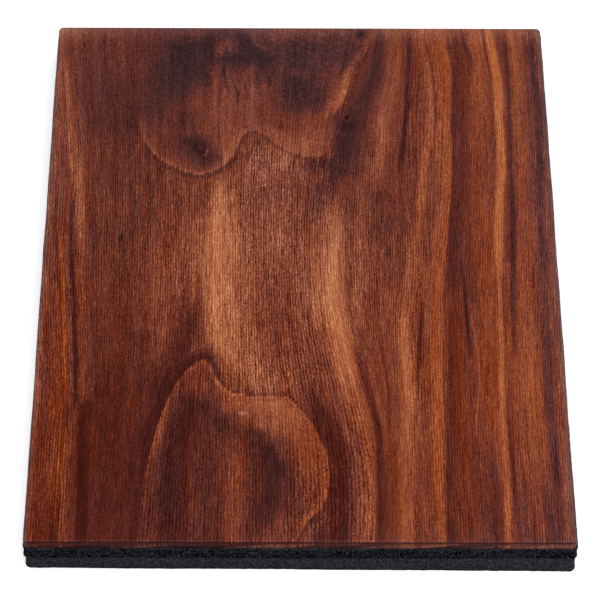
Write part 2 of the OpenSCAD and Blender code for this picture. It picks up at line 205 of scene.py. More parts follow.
def floorMaterial(spec):
    material = bpy.data.materials.new("paleFloor")
    material.use_nodes = True
    tree = material.node_tree
    tree.nodes.clear()
    matte = addNode(tree, "ShaderNodeBsdfDiffuse", {"Color": linear(spec["floorColour"])})
    rays = addNode(tree, "ShaderNodeLightPath").outputs
    seen = calc(tree, "ADD", rays["Is Camera Ray"], rays["Is Glossy Ray"])
    seen = calc(tree, "ADD", seen, rays["Is Transmission Ray"], clamp=True)
    # no lift in the dark under the part, which shows through the jack notch
    place = addNode(tree, "ShaderNodeTexCoord").outputs["Object"]
    axes = addNode(tree, "ShaderNodeSeparateXYZ", {"Vector": place}).outputs
    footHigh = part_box("base_mat")[1]
    insideX = calc(tree, "SUBTRACT", footHigh.x, calc(tree, "ABSOLUTE", axes["X"]))
    insideY = calc(tree, "SUBTRACT", footHigh.y, calc(tree, "ABSOLUTE", axes["Y"]))
    inside = calc(tree, "MINIMUM", insideX, insideY)
    shown = calc(tree, "MULTIPLY", seen, remap(tree, inside, 0.0, spec["liftFade"], spec["floorLift"], 0.0))
    lift = addNode(tree, "ShaderNodeEmission", {"Strength": shown})
    both = addNode(tree, "ShaderNodeAddShader", {0: matte.outputs[0], 1: lift.outputs[0]})
    addNode(tree, "ShaderNodeOutputMaterial", {"Surface": both.outputs[0]})
    return material


def makeStudio(spec):
    scene = bpy.context.scene
    scene.view_settings.view_transform = "Standard"
    world = bpy.data.worlds.new("studioWorld")
    world.use_nodes = True
    background = world.node_tree.nodes["Background"]
    background.inputs["Color"].default_value = linear(spec["worldColour"])
    background.inputs["Strength"].default_value = spec["worldStrength"]
    scene.world = world

    half = spec["floorSpan"] / 2
    corners = [(-half, -half), (half, -half), (half, half), (-half, half)]
    floorMesh = bpy.data.meshes.new("studioFloor")
    floorMesh.from_pydata([(x, y, -spec["floorDrop"]) for x, y in corners], [], [(0, 1, 2, 3)])
    floor = bpy.data.objects.new("studioFloor", floorMesh)
    scene.collection.objects.link(floor)
    floorMesh.materials.append(floorMaterial(spec))

    for name, (place, width, power) in spec["lamps"].items():
        data = bpy.data.lights.new(name, "AREA")
        data.shape = "SQUARE"
        data.size = width
        data.energy = power
        light = bpy.data.objects.new(name, data)
        light.location = place
        light.rotation_euler = (-Vector(place)).to_track_quat("-Z", "Y").to_euler()
        scene.collection.objects.link(light)


makeStudio(studio)
print("studio lit")


# Walnut plate: a fine grid with eased edges, painted with the grain figure, a painted sheen and painted
# edge light

walnutPlate = {
    "cell": (0.5, 1.25),     # mm across and along the grain
    "cornerRadius": 2.0,     # rear corners
    "frontRadius": 1.0,
    "edgeRadius": 0.8,
    "edgeSteps": 4,
    "sideSteps": 4,
    "cornerCells": 3,
    "sharpAngle": 50.0,      # degrees
    # tone factor, tone lift and warmth factor of each ring of the eased edge and of the sides; on the eased
    # edge a painted highlight, then a painted shade line
    "arrisPaintedLight": ((0.9, 0.07, 0.8), (0.9, 0.08, 0.7), (0.1, -0.05, 0.9), (0.1, -0.05, 0.9)),
    # sides: darker end grain with painted light, darkest under the eased edge, lighter towards the bottom,
    # the lowest ring a grey painted light catch
    "sideGrainAndPaintedLight": ((0.4, -0.05, 0.8), (0.7, -0.09, 0.8), (0.8, -0.06, 0.7), (0.7, 0.09, 0.0)),
    "edgeStreaks": {"tone": 0.4, "length": 6.0, "lean": 5.0, "seed": 16},   # lean in mm for each ring
    "edgeSlope": 0.16,       # tone added from the middle to the right side
}

# Grain strokes, in plate millimetres. Each is: width to the left and to the right of its path,
# tone (0 dark, 1 light), warmth (0 purple, 1 orange), and points (x, y, strength), where a point
# without a strength has 1. Left and right are as seen along the path.

# Outlines of two figures in the grain: the tongue at the front and the lobes at the rear
tongueEdge = [
    (-59.5, -134, 0.5), (-58.6, -122, 0.6), (-58, -110, 0.7), (-57, -100, 0.8), (-55.4, -90, 0.9),
    (-53.4, -80), (-51, -70), (-48.4, -61), (-45, -55), (-41, -49.6), (-38, -47), (-36, -46.5),
    (-34.4, -47.6), (-32.8, -51), (-30.6, -56), (-27, -60.6), (-22, -63), (-15, -63.6), (-8, -63),
    (-4.6, -64), (0.2, -70), (4.4, -77), (7.8, -84), (10, -91.5), (11, -100), (10.6, -108), (8.8, -114),
    (5.2, -118.6), (1.6, -122.8), (-0.6, -127), (-3, -134),
]

lobeEdge = [
    (-64, 140, 0), (-66.5, 88, 0), (-65.4, 78, 0.5), (-63.4, 68.5, 0.8), (-60, 61.5), (-56, 56),
    (-51, 52), (-45.5, 49.2), (-40, 48), (-36, 49), (-31.4, 51.6), (-27.6, 55.4), (-25.4, 60.4),
    (-24, 66), (-22.5, 69.3), (-20, 70.8), (-17, 70.5, 0.9), (-14, 68.8, 0.8), (-10, 65.2, 0.8),
    (-6, 61.6, 0.8), (-2, 59.2, 0.8), (3, 57.6, 0.8), (6.6, 57.2, 0.8), (9.6, 59, 0.4), (11.8, 64, 0),
    (13.8, 74, 0), (20, 104, 0), (34, 140, 0),
]

groundStrokes = [
    # left edge and the field beside it
    (13, 10, 0.28, 0.72, [(-98, -132), (-98, -60)]),
    (12, 9, 0.37, 0.60, [(-98, -70), (-98, 25)]),
    (12, 10, 0.45, 0.45, [(-99, 20, 0.5), (-99, 60), (-99, 90, 0.8), (-99, 132, 0.7)]),
    (22, 22, 0.17, 0.50, [(-69, -134), (-68, -58), (-68, -46, 0.6)]),
    (20, 20, 0.27, 0.55, [(-71, -44, 0.8), (-71, -24), (-71, 20)]),
    (20, 20, 0.30, 0.48, [(-71, 20), (-70, 75)]),
    (20, 18, 0.27, 0.36, [(-76, 78), (-76, 96)]),
    (14, 14, 0.33, 0.33, [(-83, 96, 0.8), (-82, 118, 0.9), (-82, 134, 0.8)]),
    (11, 12, 0.53, 0.58, [(-52, -28, 0.2), (-52, -6, 0.9), (-51, 12, 0.9), (-50, 40, 0.1)]),
    (8, 8, 0.30, 0.45, [(-56, 34, 0.8), (-58, 52, 0.8)]),
    # middle field
    (16, 16, 0.53, 0.48, [(-10, -66), (-10, 30)]),
    (12, 12, 0.50, 0.46, [(-12, 30, 0.8), (-12, 52, 0.8)]),
    (8, 8, 0.36, 0.54, [(-6, -60, 0.4), (-7, -46, 0.8), (-7, -24, 0.9), (-7, -2, 0.5)]),
    (6, 6, 0.58, 0.50, [(1, -28, 0.4), (1, -8, 0.8), (0, 14, 0.5)]),
    (6, 6, 0.36, 0.48, [(3, -68, 0.7), (4, -44, 0.6)]),
    # field right of the middle
    (10, 8, 0.30, 0.62, [(33, -134), (33, -92)]),
    (10, 8, 0.42, 0.58, [(32, -84), (31, 8)]),
    (9, 9, 0.49, 0.50, [(23, -14, 0.8), (23, 14, 0.8), (23, 26, 0.5)]),
    (8, 8, 0.40, 0.45, [(25, 34, 0.9), (26, 52, 0.9)]),
    (7, 7, 0.36, 0.64, [(48, -134, 0.9), (47, -60), (47, -34)]),
    (6, 6, 0.47, 0.58, [(47.5, -34, 0.8), (48, -16), (48, -2), (47, 14, 0.6)]),
    (8, 7, 0.40, 0.54, [(46, 10, 0.8), (49, 60), (50, 132)]),
    (4, 4, 0.48, 0.50, [(48, -90, 0.3), (48, -78, 0.8), (48, -66, 0.3)]),
    (10, 10, 0.34, 0.30, [(13, 98, 0.6), (18, 110, 0.8), (22, 122, 0.6)]),
    (7, 6, 0.46, 0.55, [(37, 62, 0.5), (38, 90), (38.5, 134)]),
    # right-hand bands
    (7, 7, 0.29, 0.66, [(60, -134), (61, -20)]),
    (7, 7, 0.29, 0.56, [(65, -14), (67, 60), (67, 110)]),
    (7, 7, 0.44, 0.67, [(72, -92, 0.8), (72, -60), (72.5, 60), (73.5, 134)]),
    (5, 5, 0.60, 0.64, [(73, 64, 0.3), (73.5, 100, 0.9), (73, 124), (72.4, 134)]),
    (7, 7, 0.25, 0.50, [(71, -134, 0.8), (71.5, -112), (72, -96, 0.3)]),
    (5, 5, 0.49, 0.62, [(81, -134, 0.3), (81, -100, 0.6), (81, -40), (82, 0, 0.8)]),
    (6, 6, 0.50, 0.60, [(87, -134, 0.1), (87, -106, 0.5), (87, -60), (88, 60), (88.6, 134)]),
    (5, 5, 0.58, 0.60, [(86, -96, 0.3), (86.6, -66, 0.9), (87, -40, 0.8), (87.6, -16, 0.3)]),
    (5, 5, 0.42, 0.36, [(93.6, -134, 0.9), (94, 0, 0.8), (94.4, 134, 0.8)]),
    (5, 5, 0.47, 0.24, [(99, -134), (99, 134)]),
    # rear centre, purple
    (16, 15, 0.22, 0.22, [(-58, 84, 0.7), (-55, 98), (-50, 120)]),
    (14, 13, 0.23, 0.22, [(-1, 90, 0.9), (-1, 102), (4, 114, 0.9)]),
    (16, 16, 0.26, 0.17, [(-26, 112, 0.8), (-10, 116, 0.8), (16, 118, 0.7)]),
    (15, 15, 0.52, 0.46, [(-27, 70), (-24, 92)]),
]

lobeStrokes = [   # only seen inside the lobes
    (9, 9, 0.27, 0.36, [(-49, 62), (-47, 78, 0.8)]),
    (9, 8, 0.57, 0.50, [(-8, 67, 0.7), (0, 64), (6, 64), (9, 70, 0.7)]),
    (7, 7, 0.50, 0.50, [(-30, 62, 0.8), (-24, 78, 0.8)]),
    (6, 0.1, 0.40, 0.46, lobeEdge[2:18]),
    (2, 0.1, 0.52, 0.50, lobeEdge[2:18]),
    (1.1, 0.1, 0.64, 0.50, lobeEdge[3:18]),
    (6, 0.1, 0.63, 0.50, lobeEdge[10:15]),
    (4, 0.1, 0.62, 0.50, lobeEdge[18:23]),
    (1.1, 0.1, 0.70, 0.48, lobeEdge[18:23]),
    (3, 3, 0.68, 0.54, [(-28.4, 57, 0.5), (-26.6, 60.6, 0.8), (-25, 67, 0.5)]),
    (4, 4, 0.58, 0.50, [(-18, 74.4, 0.4), (-14, 72.6, 0.8), (-9, 69.6, 0.5)]),
    (9, 9, 0.13, 0.20, [(-41, 63.5), (-38.5, 57, 0.9)]),
]

tongueStrokes = [   # only seen inside the tongue
    (26, 26, 0.22, 0.44, [(-30, -134), (-32, -70), (-16, -86), (-14, -134)]),
    (8, 11, 0.13, 0.36, [(-48, -134, 0.7), (-47.5, -112), (-46, -88), (-39, -67, 0.9)]),
    (9, 8, 0.36, 0.56, [(-25, -134, 0.8), (-24, -112), (-24, -96, 0.9), (-25, -84, 0.3)]),
    (8, 9, 0.38, 0.62, [(3, -112, 0.6), (4, -100, 0.9), (2, -88), (-2, -80, 0.9)]),
    (9, 9, 0.40, 0.50, [(-16, -134, 0.8), (-4, -123, 0.8), (2, -116, 0.4)]),
    (7, 6, 0.14, 0.30, [(-13, -118, 0.8), (-9.5, -102), (-12.5, -88, 0.8), (-14, -81, 0.3)]),
    (7, 17, 0.65, 0.56, [(-28, -60, 0.3), (-20, -64, 0.9), (-9, -65), (-2, -72, 0.9), (3, -80, 0.5),
        (7, -90, 0.2)]),
    (5, 5, 0.13, 0.30, [(-43, -66, 0.4), (-38, -68, 0.8), (-33, -71, 0.5)]),
    (7, 5, 0.15, 0.34, [(-36, -72, 0.4), (-30, -76.6, 0.7), (-25, -80, 0.4)]),
    (5, 5, 0.54, 0.54, [(-19, -75.6, 0.6), (-13, -77, 0.8), (-7, -78.6, 0.7), (-2, -82, 0.4)]),
    (4, 4, 0.36, 0.48, [(-37, -52, 0.7), (-36, -57, 0.5)]),
    (0.1, 3, 0.28, 0.56, tongueEdge[:5]),
    (0.1, 3, 0.42, 0.58, tongueEdge[4:]),
    (0.1, 1.1, 0.47, 0.56, tongueEdge[3:14]),
    (0.1, 1.8, 0.70, 0.58, tongueEdge[14:22]),
    (0.1, 3, 0.49, 0.66, tongueEdge[21:]),
]

streakStrokes = [
    # left side
    (3, 4.5, 0.06, 0.50, [(-79.5, -132, 0.7), (-80, -110), (-80.5, -88), (-80.5, -68, 0.6)]),
    (3.4, 1.8, 0.29, 0.86, [(-88.4, -134), (-88.2, -100), (-88.8, -62, 0.9), (-90.5, -25, 0.8),
        (-92, 0, 0.7), (-93.5, 22, 0.4)]),
    (0.4, 0.5, 0.66, 0.84, [(-87.2, -134, 0.9), (-87.2, -112), (-87.4, -90, 0.8), (-88, -66, 0.4),
        (-89.4, -40, 0.8), (-91, -14, 0.7), (-92.6, 12, 0.3)]),
    (0.4, 0.4, 0.58, 0.84, [(-89, -126, 0.4), (-89, -104, 0.9), (-89.2, -82, 0.6), (-90.2, -52, 0.4)]),
    (0.3, 0.3, 0.54, 0.80, [(-91.6, -112, 0.5), (-91.4, -90, 0.8), (-91.6, -68, 0.5)]),
    (0.4, 0.4, 0.56, 0.80, [(-86, -128, 0.3), (-86, -108, 0.8), (-86.2, -88, 0.4)]),
    (3.2, 2.8, 0.60, 0.60, [(-84.6, 0, 0.2), (-85.4, 12, 0.7), (-86.4, 26), (-87.8, 40), (-89.6, 54, 0.9),
        (-91.4, 70, 0.7), (-93, 88, 0.6), (-95, 110, 0.3)]),
    (0.5, 0.5, 0.70, 0.58, [(-90.4, 48, 0.4), (-92.4, 68, 0.9), (-94, 88, 0.8), (-95.4, 104, 0.4)]),
    (1, 3.2, 0.42, 0.62, [(-82, -62, 0.4), (-83.5, -34), (-86, -6, 0.8), (-87.5, 12, 0.3)]),
    (0.9, 1.2, 0.08, 0.32, [(-84.3, -67, 0.9), (-85, -50), (-86, -35), (-87.2, -15), (-88.3, 0),
        (-89.2, 10, 0.8), (-90.5, 25, 0.5), (-91.2, 37, 0.2)]),
    (1.1, 1.1, 0.22, 0.55, [(-93.5, -12, 0.4), (-94.5, 4, 0.8), (-96, 26, 0.6)]),
    (1.3, 1.3, 0.62, 0.74, [(-93.4, 14, 0.2), (-92, 0, 0.7), (-90.4, -24, 0.8), (-89.2, -46, 0.7),
        (-88.8, -58, 0.2)]),
    (5, 4, 0.14, 0.56, [(-86, -62, 0.1), (-87, -72, 0.7), (-86.4, -82, 0.2)]),
    (5, 6, 0.12, 0.70, [(-91, -134, 0.8), (-91, -120, 0.7), (-90, -106, 0.1)]),
    # painted highlight: a pale line along the left edge
    (1.8, 1.8, 0.58, 0.30, [(-98.8, -134, 0.2), (-98.8, -90, 0.3), (-98.8, -60, 0.7), (-98.8, 40, 0.7),
        (-98.8, 134, 0.3)]),
    (7, 6, 0.16, 0.66, [(-73, -92, 0.3), (-73, -76, 0.7), (-73, -60, 0.7), (-73, -48, 0.3)]),
    (9, 9, 0.38, 0.52, [(-71, 64, 0.3), (-70, 40, 0.5), (-70, 0, 0.5), (-68, -26, 0.2)]),
    (9, 6, 0.20, 0.28, [(-67, 134, 0.5), (-66, 118, 0.6), (-66, 106, 0.1)]),
    (3.4, 3.4, 0.30, 0.52, [(-51, 38, 0.3), (-51, 20, 0.7), (-51.6, 0, 0.6), (-50, -26, 0.4)]),
    (3.2, 2, 0.74, 0.60, [(-38.4, 28, 0.3), (-38, 10, 0.6), (-37.6, -8, 0.7), (-36.4, -18, 0.2)]),
    # beside the tongue
    (2, 2, 0.28, 0.50, [(-64.5, -80, 0.4), (-65, -70, 0.7), (-63.5, -56, 0.8), (-61.5, -44, 0.9),
        (-59, -34, 0.4)]),
    (9, 7, 0.18, 0.44, [(-53, -60, 0.9), (-48, -48), (-44.5, -38), (-43, -28, 0.7), (-42, -20, 0.2)]),
    (9, 0.1, 0.07, 0.36, tongueEdge[:8]),
    (7, 0.1, 0.09, 0.36, tongueEdge[7:12]),
    (3, 0.1, 0.12, 0.36, tongueEdge[9:15]),
    (3.6, 0.1, 0.32, 0.42, tongueEdge[14:20]),
    (1.2, 0.1, 0.12, 0.40, tongueEdge[11:15]),
    (1.2, 0.1, 0.20, 0.42, tongueEdge[14:21]),
    (4, 0.1, 0.22, 0.44, tongueEdge[21:29]),
    (1.0, 0.1, 0.14, 0.40, tongueEdge[19:]),
    # pale streak left of the middle
    (8, 12, 0.67, 0.55, [(-15, -60, 0.3), (-21, -48, 0.7), (-24, -34, 0.8), (-25.5, -18), (-27, 10),
        (-27, 34, 0.5)]),
    (5, 9, 0.86, 0.64, [(-22, -52, 0.1), (-27.5, -45, 0.4), (-31, -37, 0.7), (-32.6, -25, 0.85),
        (-33.2, -12), (-33.4, 6), (-33, 24), (-32.4, 38, 0.7), (-31, 50, 0.2)]),
    (4, 4, 0.58, 0.50, [(-40, -14, 0.5), (-40.5, 8, 0.9), (-40, 22, 0.8)]),
    (1.2, 9, 0.42, 0.54, [(-9, -58, 0.4), (-11, -52, 0.6), (-14.5, -40, 0.7), (-16.4, -28, 0.9),
        (-17, -12, 0.8), (-17, 0, 0.3)]),
    # pale streak right of the middle
    (11, 7, 0.78, 0.49, [(20, -52, 0.2), (16.6, -34, 0.7), (14, -16), (13.4, 2), (14.2, 18, 0.9),
        (13, 34, 0.3)]),
    (6, 4.6, 0.84, 0.63, [(24.5, -80, 0.2), (22.4, -70, 0.5), (19.6, -60, 0.8), (18, -50), (16.5, -40),
        (15.2, -28), (13.2, -14, 0.7), (12.4, 4, 0.3)]),
    (3.4, 2.8, 1.0, 0.60, [(13.6, 22, 0.1), (12.8, 12, 0.4), (12, 0, 0.8), (12, -10, 0.8),
        (12.8, -20, 0.5), (15, -30, 0.3), (16, -38, 0.1)]),
    (4, 3, 0.42, 0.48, [(6.6, 32, 0.5), (7.4, 24, 0.6), (7, 15, 0.1)]),
    (5.5, 2.2, 0.52, 0.62, [(25.6, -134), (26.2, -104), (25.6, -84), (23, -68, 0.7), (20, -58, 0.3)]),
    (6, 7.5, 0.06, 0.48, [(13.5, -134), (14.5, -112), (14.6, -96, 0.9), (11.6, -82, 0.9), (7.5, -72, 0.8),
        (4.5, -62, 0.4)]),
    (5, 5, 0.18, 0.40, [(6, -134, 0.9), (10, -122, 0.8), (12, -112, 0.6)]),
    (0.8, 2.6, 0.14, 0.50, [(28.4, -134, 0.8), (28.8, -100, 0.9), (28.4, -80, 0.9), (26, -66, 0.9),
        (22.8, -50, 0.7), (20.6, -40, 0.2)]),
    # from there to the yellow stripe, and a few soft ones beside the pale streak
    (0.8, 1.0, 0.18, 0.58, [(33.6, -80, 0.5), (33.2, -62, 0.8), (31.6, -46, 0.6), (31, -34, 0.2)]),
    (3.2, 3.2, 0.44, 0.58, [(30.4, -4, 0.6), (31, 9, 0.6)]),
    (4.5, 4.5, 0.24, 0.40, [(33.5, 18, 0.6), (33.5, 36, 0.8)]),
    (4.6, 3.6, 0.53, 0.66, [(39.2, -134), (39.2, -118), (39.2, -104, 0.9), (40, -90, 0.6)]),
    (5, 5, 0.71, 0.62, [(39.2, -98, 0.2), (40, -84, 0.8), (41, -68), (40.2, -54), (39.8, -42),
        (39.6, -30, 0.9), (40.8, -20, 0.7), (42.2, -8, 0.6), (43.4, 8, 0.4), (44.4, 18, 0.2)]),
    (0.9, 1.4, 0.14, 0.42, [(44.2, -62, 0.5), (44.8, -46, 0.9), (46.2, -32), (47, -18, 0.4)]),
    (0.4, 0.4, 0.60, 0.50, [(44.6, -76, 0.5), (45.2, -62, 0.9), (45.8, -50, 0.5)]),
    (0.4, 0.4, 0.56, 0.50, [(43.2, -96, 0.4), (44, -84, 0.8), (44.6, -72, 0.4)]),
    (2.6, 2.6, 0.78, 0.50, [(5, 10, 0.2), (6, -4, 0.6), (6.2, -16, 0.8), (7, -30, 0.6)]),
    (2.6, 2.6, 0.68, 0.52, [(21, 6, 0.3), (22, -6, 0.6), (22, -17, 0.8), (22.6, -29, 0.6)]),
    (2.8, 2.8, 0.28, 0.42, [(33, 20, 0.2), (33.6, 8, 0.8), (34, -4, 0.7), (34.4, -14, 0.2)]),
    (2.6, 2.6, 0.76, 0.62, [(38.6, -22, 0.1), (38.8, -36, 0.5), (39.4, -50, 0.6), (40.4, -68, 0.4)]),
    # yellow stripe with its sharp dark right edge
    (2.6, 2.4, 0.58, 0.62, [(45.4, 8, 0.3), (46.8, 20, 0.7), (48, 30, 0.9), (49, 44), (50.6, 58),
        (52, 70, 0.9), (53, 84, 0.9), (53.4, 98, 0.9), (53, 110, 0.8), (52, 120, 0.8), (51, 134, 0.9)]),
    (0.6, 6, 0.23, 0.50, [(57, -24, 0.2), (57.2, -6, 0.9), (58, 8), (59, 20), (60, 32), (61, 46),
        (61.8, 60), (62.4, 76), (62.8, 88), (63, 102, 0.9), (62.6, 113, 0.6), (59, 134, 0.2)]),
    (0.6, 5, 0.18, 0.50, [(53, -134, 0.9), (53.8, -100, 0.9), (55.6, -60, 0.8), (57, -24, 0.5)]),
    (4.8, 1.2, 0.64, 0.76, [(50.6, -134, 0.2), (51.4, -110, 0.35), (52.2, -90, 0.6), (52.8, -60, 0.95),
        (53.6, -35, 0.7), (55, -12, 0.7), (56.4, 6, 0.9), (57.8, 22), (58.8, 32), (60, 46), (60.6, 60),
        (61, 78), (61, 100), (60.6, 112), (58.8, 122, 0.9), (57, 134)]),
    (1.8, 1.0, 0.54, 0.74, [(51.4, -134, 0.6), (51.8, -110, 0.5), (52.2, -90, 0.7), (52.4, -66, 0.5)]),
    (5, 2.4, 0.60, 0.78, [(55.6, 46, 0.3), (57, 66, 0.7), (58, 90, 0.8), (57.4, 112, 0.8),
        (54, 134, 0.9)]),
    (0.7, 0.7, 0.30, 0.52, [(55, 76, 0.4), (54.8, 94, 0.6), (54, 110, 0.9), (52, 126, 0.8)]),
    (0.9, 1.1, 0.08, 0.30, [(64.8, -44, 0.4), (64.2, -30, 0.9), (63.6, -14), (63, 4, 0.5)]),
    (0.5, 0.5, 0.62, 0.62, [(65.6, -82, 0.4), (66.4, -70, 0.9), (68, -56, 0.9), (67.4, -40, 0.9),
        (66, -24, 0.5)]),
    (0.5, 0.5, 0.54, 0.62, [(68.4, -104, 0.3), (69.2, -92, 0.7), (68.6, -80, 0.3)]),
    (1.6, 1.6, 0.14, 0.36, [(70.6, 104, 0.2), (69.8, 112, 0.7), (68.2, 120, 0.9), (66.6, 134, 0.9)]),
    # orange stripe
    (0.9, 2.0, 0.20, 0.34, [(81.4, -44, 0.3), (81.6, -22, 0.8), (82.2, 0, 0.9), (83, 16, 0.9),
        (83.6, 40, 0.9), (84.3, 56, 0.9), (84.8, 76, 0.9), (85, 100, 0.9), (84.6, 112, 0.9),
        (83.6, 124, 0.9), (83, 134, 0.8)]),
    (1.2, 1.7, 0.17, 0.36, [(79, -134, 0.4), (78.4, -114, 0.9), (78, -100), (78.2, -80, 0.6),
        (78.4, -58, 0.2)]),
    (1.2, 1.4, 0.20, 0.40, [(82.6, -118, 0.2), (82.2, -106, 0.8), (82, -96, 0.3)]),
    (1.7, 1.5, 0.74, 0.66, [(74.4, -134, 0.6), (75, -122, 0.6), (75.4, -112, 0.9), (75.6, -96, 0.8),
        (75.9, -64, 0.9), (76.2, -40, 0.9), (76.6, -22), (77.2, -6), (77.8, 10, 0.9), (78.4, 22, 0.6)]),
    (2.8, 2.5, 0.80, 0.81, [(77.2, -6, 0.2), (77.8, 4, 0.6), (78.6, 18, 0.8), (79.3, 30), (79.9, 42),
        (80.6, 54), (81, 70), (81, 86), (80.4, 100), (79.6, 110), (78.6, 120), (77.6, 134)]),
    (0.6, 0.6, 0.22, 0.5, [(78.2, 96, 0.3), (77.6, 108, 0.7), (76.4, 120, 0.8), (75.6, 134, 0.8)]),
    (3, 3, 0.20, 0.26, [(90.6, -134, 0.8), (90.6, -118, 0.7), (91, -102, 0.2)]),
    (4, 3, 0.24, 0.34, [(81.6, -134, 0.7), (81.2, -116, 0.5), (81, -104, 0.2)]),
    (4, 4, 0.24, 0.44, [(69, -86, 0.2), (69, -98, 0.7), (68, -110, 0.4)]),
    # right edge
    (2.2, 2.2, 0.29, 0.18, [(93.6, -134, 0.5), (94, -100, 0.7), (93.4, -60, 0.6), (94.4, -10, 0.6),
        (95, 20, 0.7), (95.6, 52), (96.6, 72), (96.6, 92), (95.6, 110), (96, 134, 0.9)]),
    (0.5, 0.7, 0.14, 0.24, [(91.2, -78, 0.4), (91.4, -68, 0.8), (91.8, -58, 0.4)]),
    (0.5, 0.7, 0.12, 0.24, [(94.8, -108, 0.4), (94.4, -96, 0.9), (94.8, -84, 0.4)]),
    (0.9, 0.9, 0.46, 0.55, [(96.4, -90, 0.4), (96.8, -68, 0.8), (97.4, -46, 0.5)]),
    # rear right
    (4, 5, 0.62, 0.58, [(29, 46, 0.6), (32, 60), (32.6, 76), (34, 88, 0.6), (36, 97, 0.2)]),
    (1.5, 1.5, 0.15, 0.40, [(39.6, 50, 0.6), (41, 62), (42.2, 74), (43.4, 85, 0.9), (44.2, 96, 0.9),
        (45, 108, 0.9), (45.4, 119, 0.9), (44.6, 134, 0.8)]),
    (1.6, 1.6, 0.14, 0.40, [(44.4, 84, 0.7), (45.6, 88.6, 0.6)]),
    (1.8, 1.8, 0.12, 0.36, [(40.4, 56, 0.7), (41.6, 65, 0.7)]),
    (6, 6.5, 0.18, 0.18, [(4, 22, 0), (8, 34, 0.5), (11.5, 44, 0.8), (15.5, 55), (18.5, 66),
        (22, 77, 0.8), (25.5, 89, 0.7), (29.5, 99, 0.75), (31.5, 110, 0.7), (33, 124, 0.6),
        (34, 134, 0.4)]),
    (2.4, 2.0, 0.54, 0.50, [(20, 102, 0.4), (22.6, 108.5, 0.8), (26, 116, 0.8), (29, 124, 0.8),
        (31, 134, 0.7)]),
    (6, 2.2, 0.68, 0.60, [(11, 78, 0.3), (14.6, 84, 0.9), (17.6, 91), (19.4, 97, 0.9), (20.6, 103, 0.5),
        (21.6, 107, 0.1)]),
    # rear centre: dark clouds round a reddish patch, and pale loops that hang from the rear edge
    (12, 12, 0.18, 0.12, [(-49, 96, 0.6), (-45, 105, 0.9), (-44, 116, 0.8)]),
    (7, 7, 0.16, 0.07, [(-41, 118, 0.6), (-35, 125, 0.7), (-27, 126, 0.7), (-21, 120, 0.8),
        (-15, 112, 0.8), (-9, 108, 0.5)]),
    (12, 12, 0.20, 0.20, [(-2, 102, 0.6), (1, 96, 0.9), (4, 89, 0.8)]),
    (9, 9, 0.30, 0.24, [(8, 110, 0.5), (16, 116, 0.4), (20, 123, 0.2)]),
    (13, 13, 0.49, 0.45, [(-25, 76, 0.8), (-25, 88, 0.9), (-27, 96, 0.5)]),
    (3, 3, 0.17, 0.16, [(-38, 110, 0.5), (-30, 111, 0.8), (-20, 110, 0.6)]),
    (5.5, 4.5, 0.44, 0.36, [(-33, 117.6, 0.9), (-28, 118.4, 0.9)]),
    (0.8, 0.8, 0.06, 0.10, [(-30.5, 117.2), (-30.4, 117.8)]),
    (0.6, 0.6, 0.10, 0.10, [(-30.5, 114.8, 0.9), (-30.4, 115.2, 0.9)]),
    (8, 8, 0.40, 0.26, [(-18, 132, 0.8), (-14, 126, 0.8), (-9, 126, 0.8), (-4, 132, 0.8)]),
    (0.8, 0.8, 0.48, 0.36, [(-23, 131, 0.4), (-20, 124, 0.6), (-14, 119.6, 0.7), (-8, 120.4, 0.6),
        (-3.4, 126.6, 0.5), (-2, 132, 0.3)]),
    (5, 5, 0.36, 0.22, [(-57, 130, 0.7), (-52, 126, 0.6)]),
    (0.8, 0.8, 0.40, 0.32, [(-61, 131, 0.4), (-57, 125, 0.6), (-51, 121.4, 0.6), (-45, 122, 0.4),
        (-41, 127, 0.2)]),
    (4, 4, 0.34, 0.38, [(-8, 107.6, 0.5), (-4, 105.4, 0.7), (1, 102.8, 0.5)]),
    (4, 4, 0.36, 0.34, [(-32, 97, 0.7), (-31, 104, 0.5)]),
    (4, 4, 0.20, 0.22, [(-40, 98, 0.5), (-40, 106, 0.8)]),
    (4, 4, 0.22, 0.26, [(-16, 100, 0.3), (-15, 105, 0.7)]),
    (1.1, 1.1, 0.14, 0.24, [(-30.2, 109.6, 0.6), (-30, 101, 0.9), (-29.6, 93.4, 0.5)]),
    (0.9, 0.9, 0.20, 0.30, [(-26, 99.4, 0.4), (-25.8, 92, 0.8), (-25.4, 85, 0.3)]),
    (0.8, 0.8, 0.26, 0.36, [(-33.4, 98, 0.4), (-33.2, 91, 0.6), (-33, 85, 0.2)]),
    (0.8, 0.8, 0.27, 0.36, [(-21.6, 98, 0.5), (-21.4, 91, 0.6)]),
    (1.1, 1.1, 0.16, 0.26, [(-12.6, 104.6, 0.7), (-12.4, 97.4, 0.7)]),
    (0.8, 0.8, 0.25, 0.36, [(-16.5, 102.4, 0.5), (-16.3, 94.6, 0.6)]),
    (0.9, 0.9, 0.22, 0.40, [(-7.8, 79.6, 0.4), (-7.6, 74, 0.8), (-7.4, 69, 0.5)]),
    # darker just below the lobes, lighter under the right one
    (0.1, 3.5, 0.26, 0.34, lobeEdge[4:12]),
    (0.1, 2.2, 0.30, 0.38, lobeEdge[11:20]),
    (0.1, 3, 0.30, 0.34, lobeEdge[20:24]),
    (10, 9, 0.60, 0.44, [(-18, 44, 0.6), (-15, 56), (-10, 55), (-4, 51, 0.6)]),
    (3, 3, 0.40, 0.40, [(-20.5, 64, 0.6), (-18, 67, 0.8), (-14, 64, 0.5)]),
    (4, 5, 0.20, 0.24, [(2, 52, 0.5), (7, 53, 0.8), (14, 55, 0.8)]),
]

paintedRearSheenStrokes = [   # painted sheen: paler, cooler tone along the rear edge
    (16, 16, 0.95, 0.3, [(-112, 134), (-96, 134, 0.9), (-86, 135, 0.5), (-70, 135, 0.4)]),
    (16, 16, 0.68, 0.1, [(-66, 135, 0.2), (-30, 135, 0.3), (-16, 135, 0.5), (0, 135, 0.6),
        (34, 135, 0.6)]),
    (16, 16, 0.92, 0.3, [(40, 135, 0.5), (56, 134, 0.8), (70, 135, 0.6), (112, 134, 0.7)]),
]

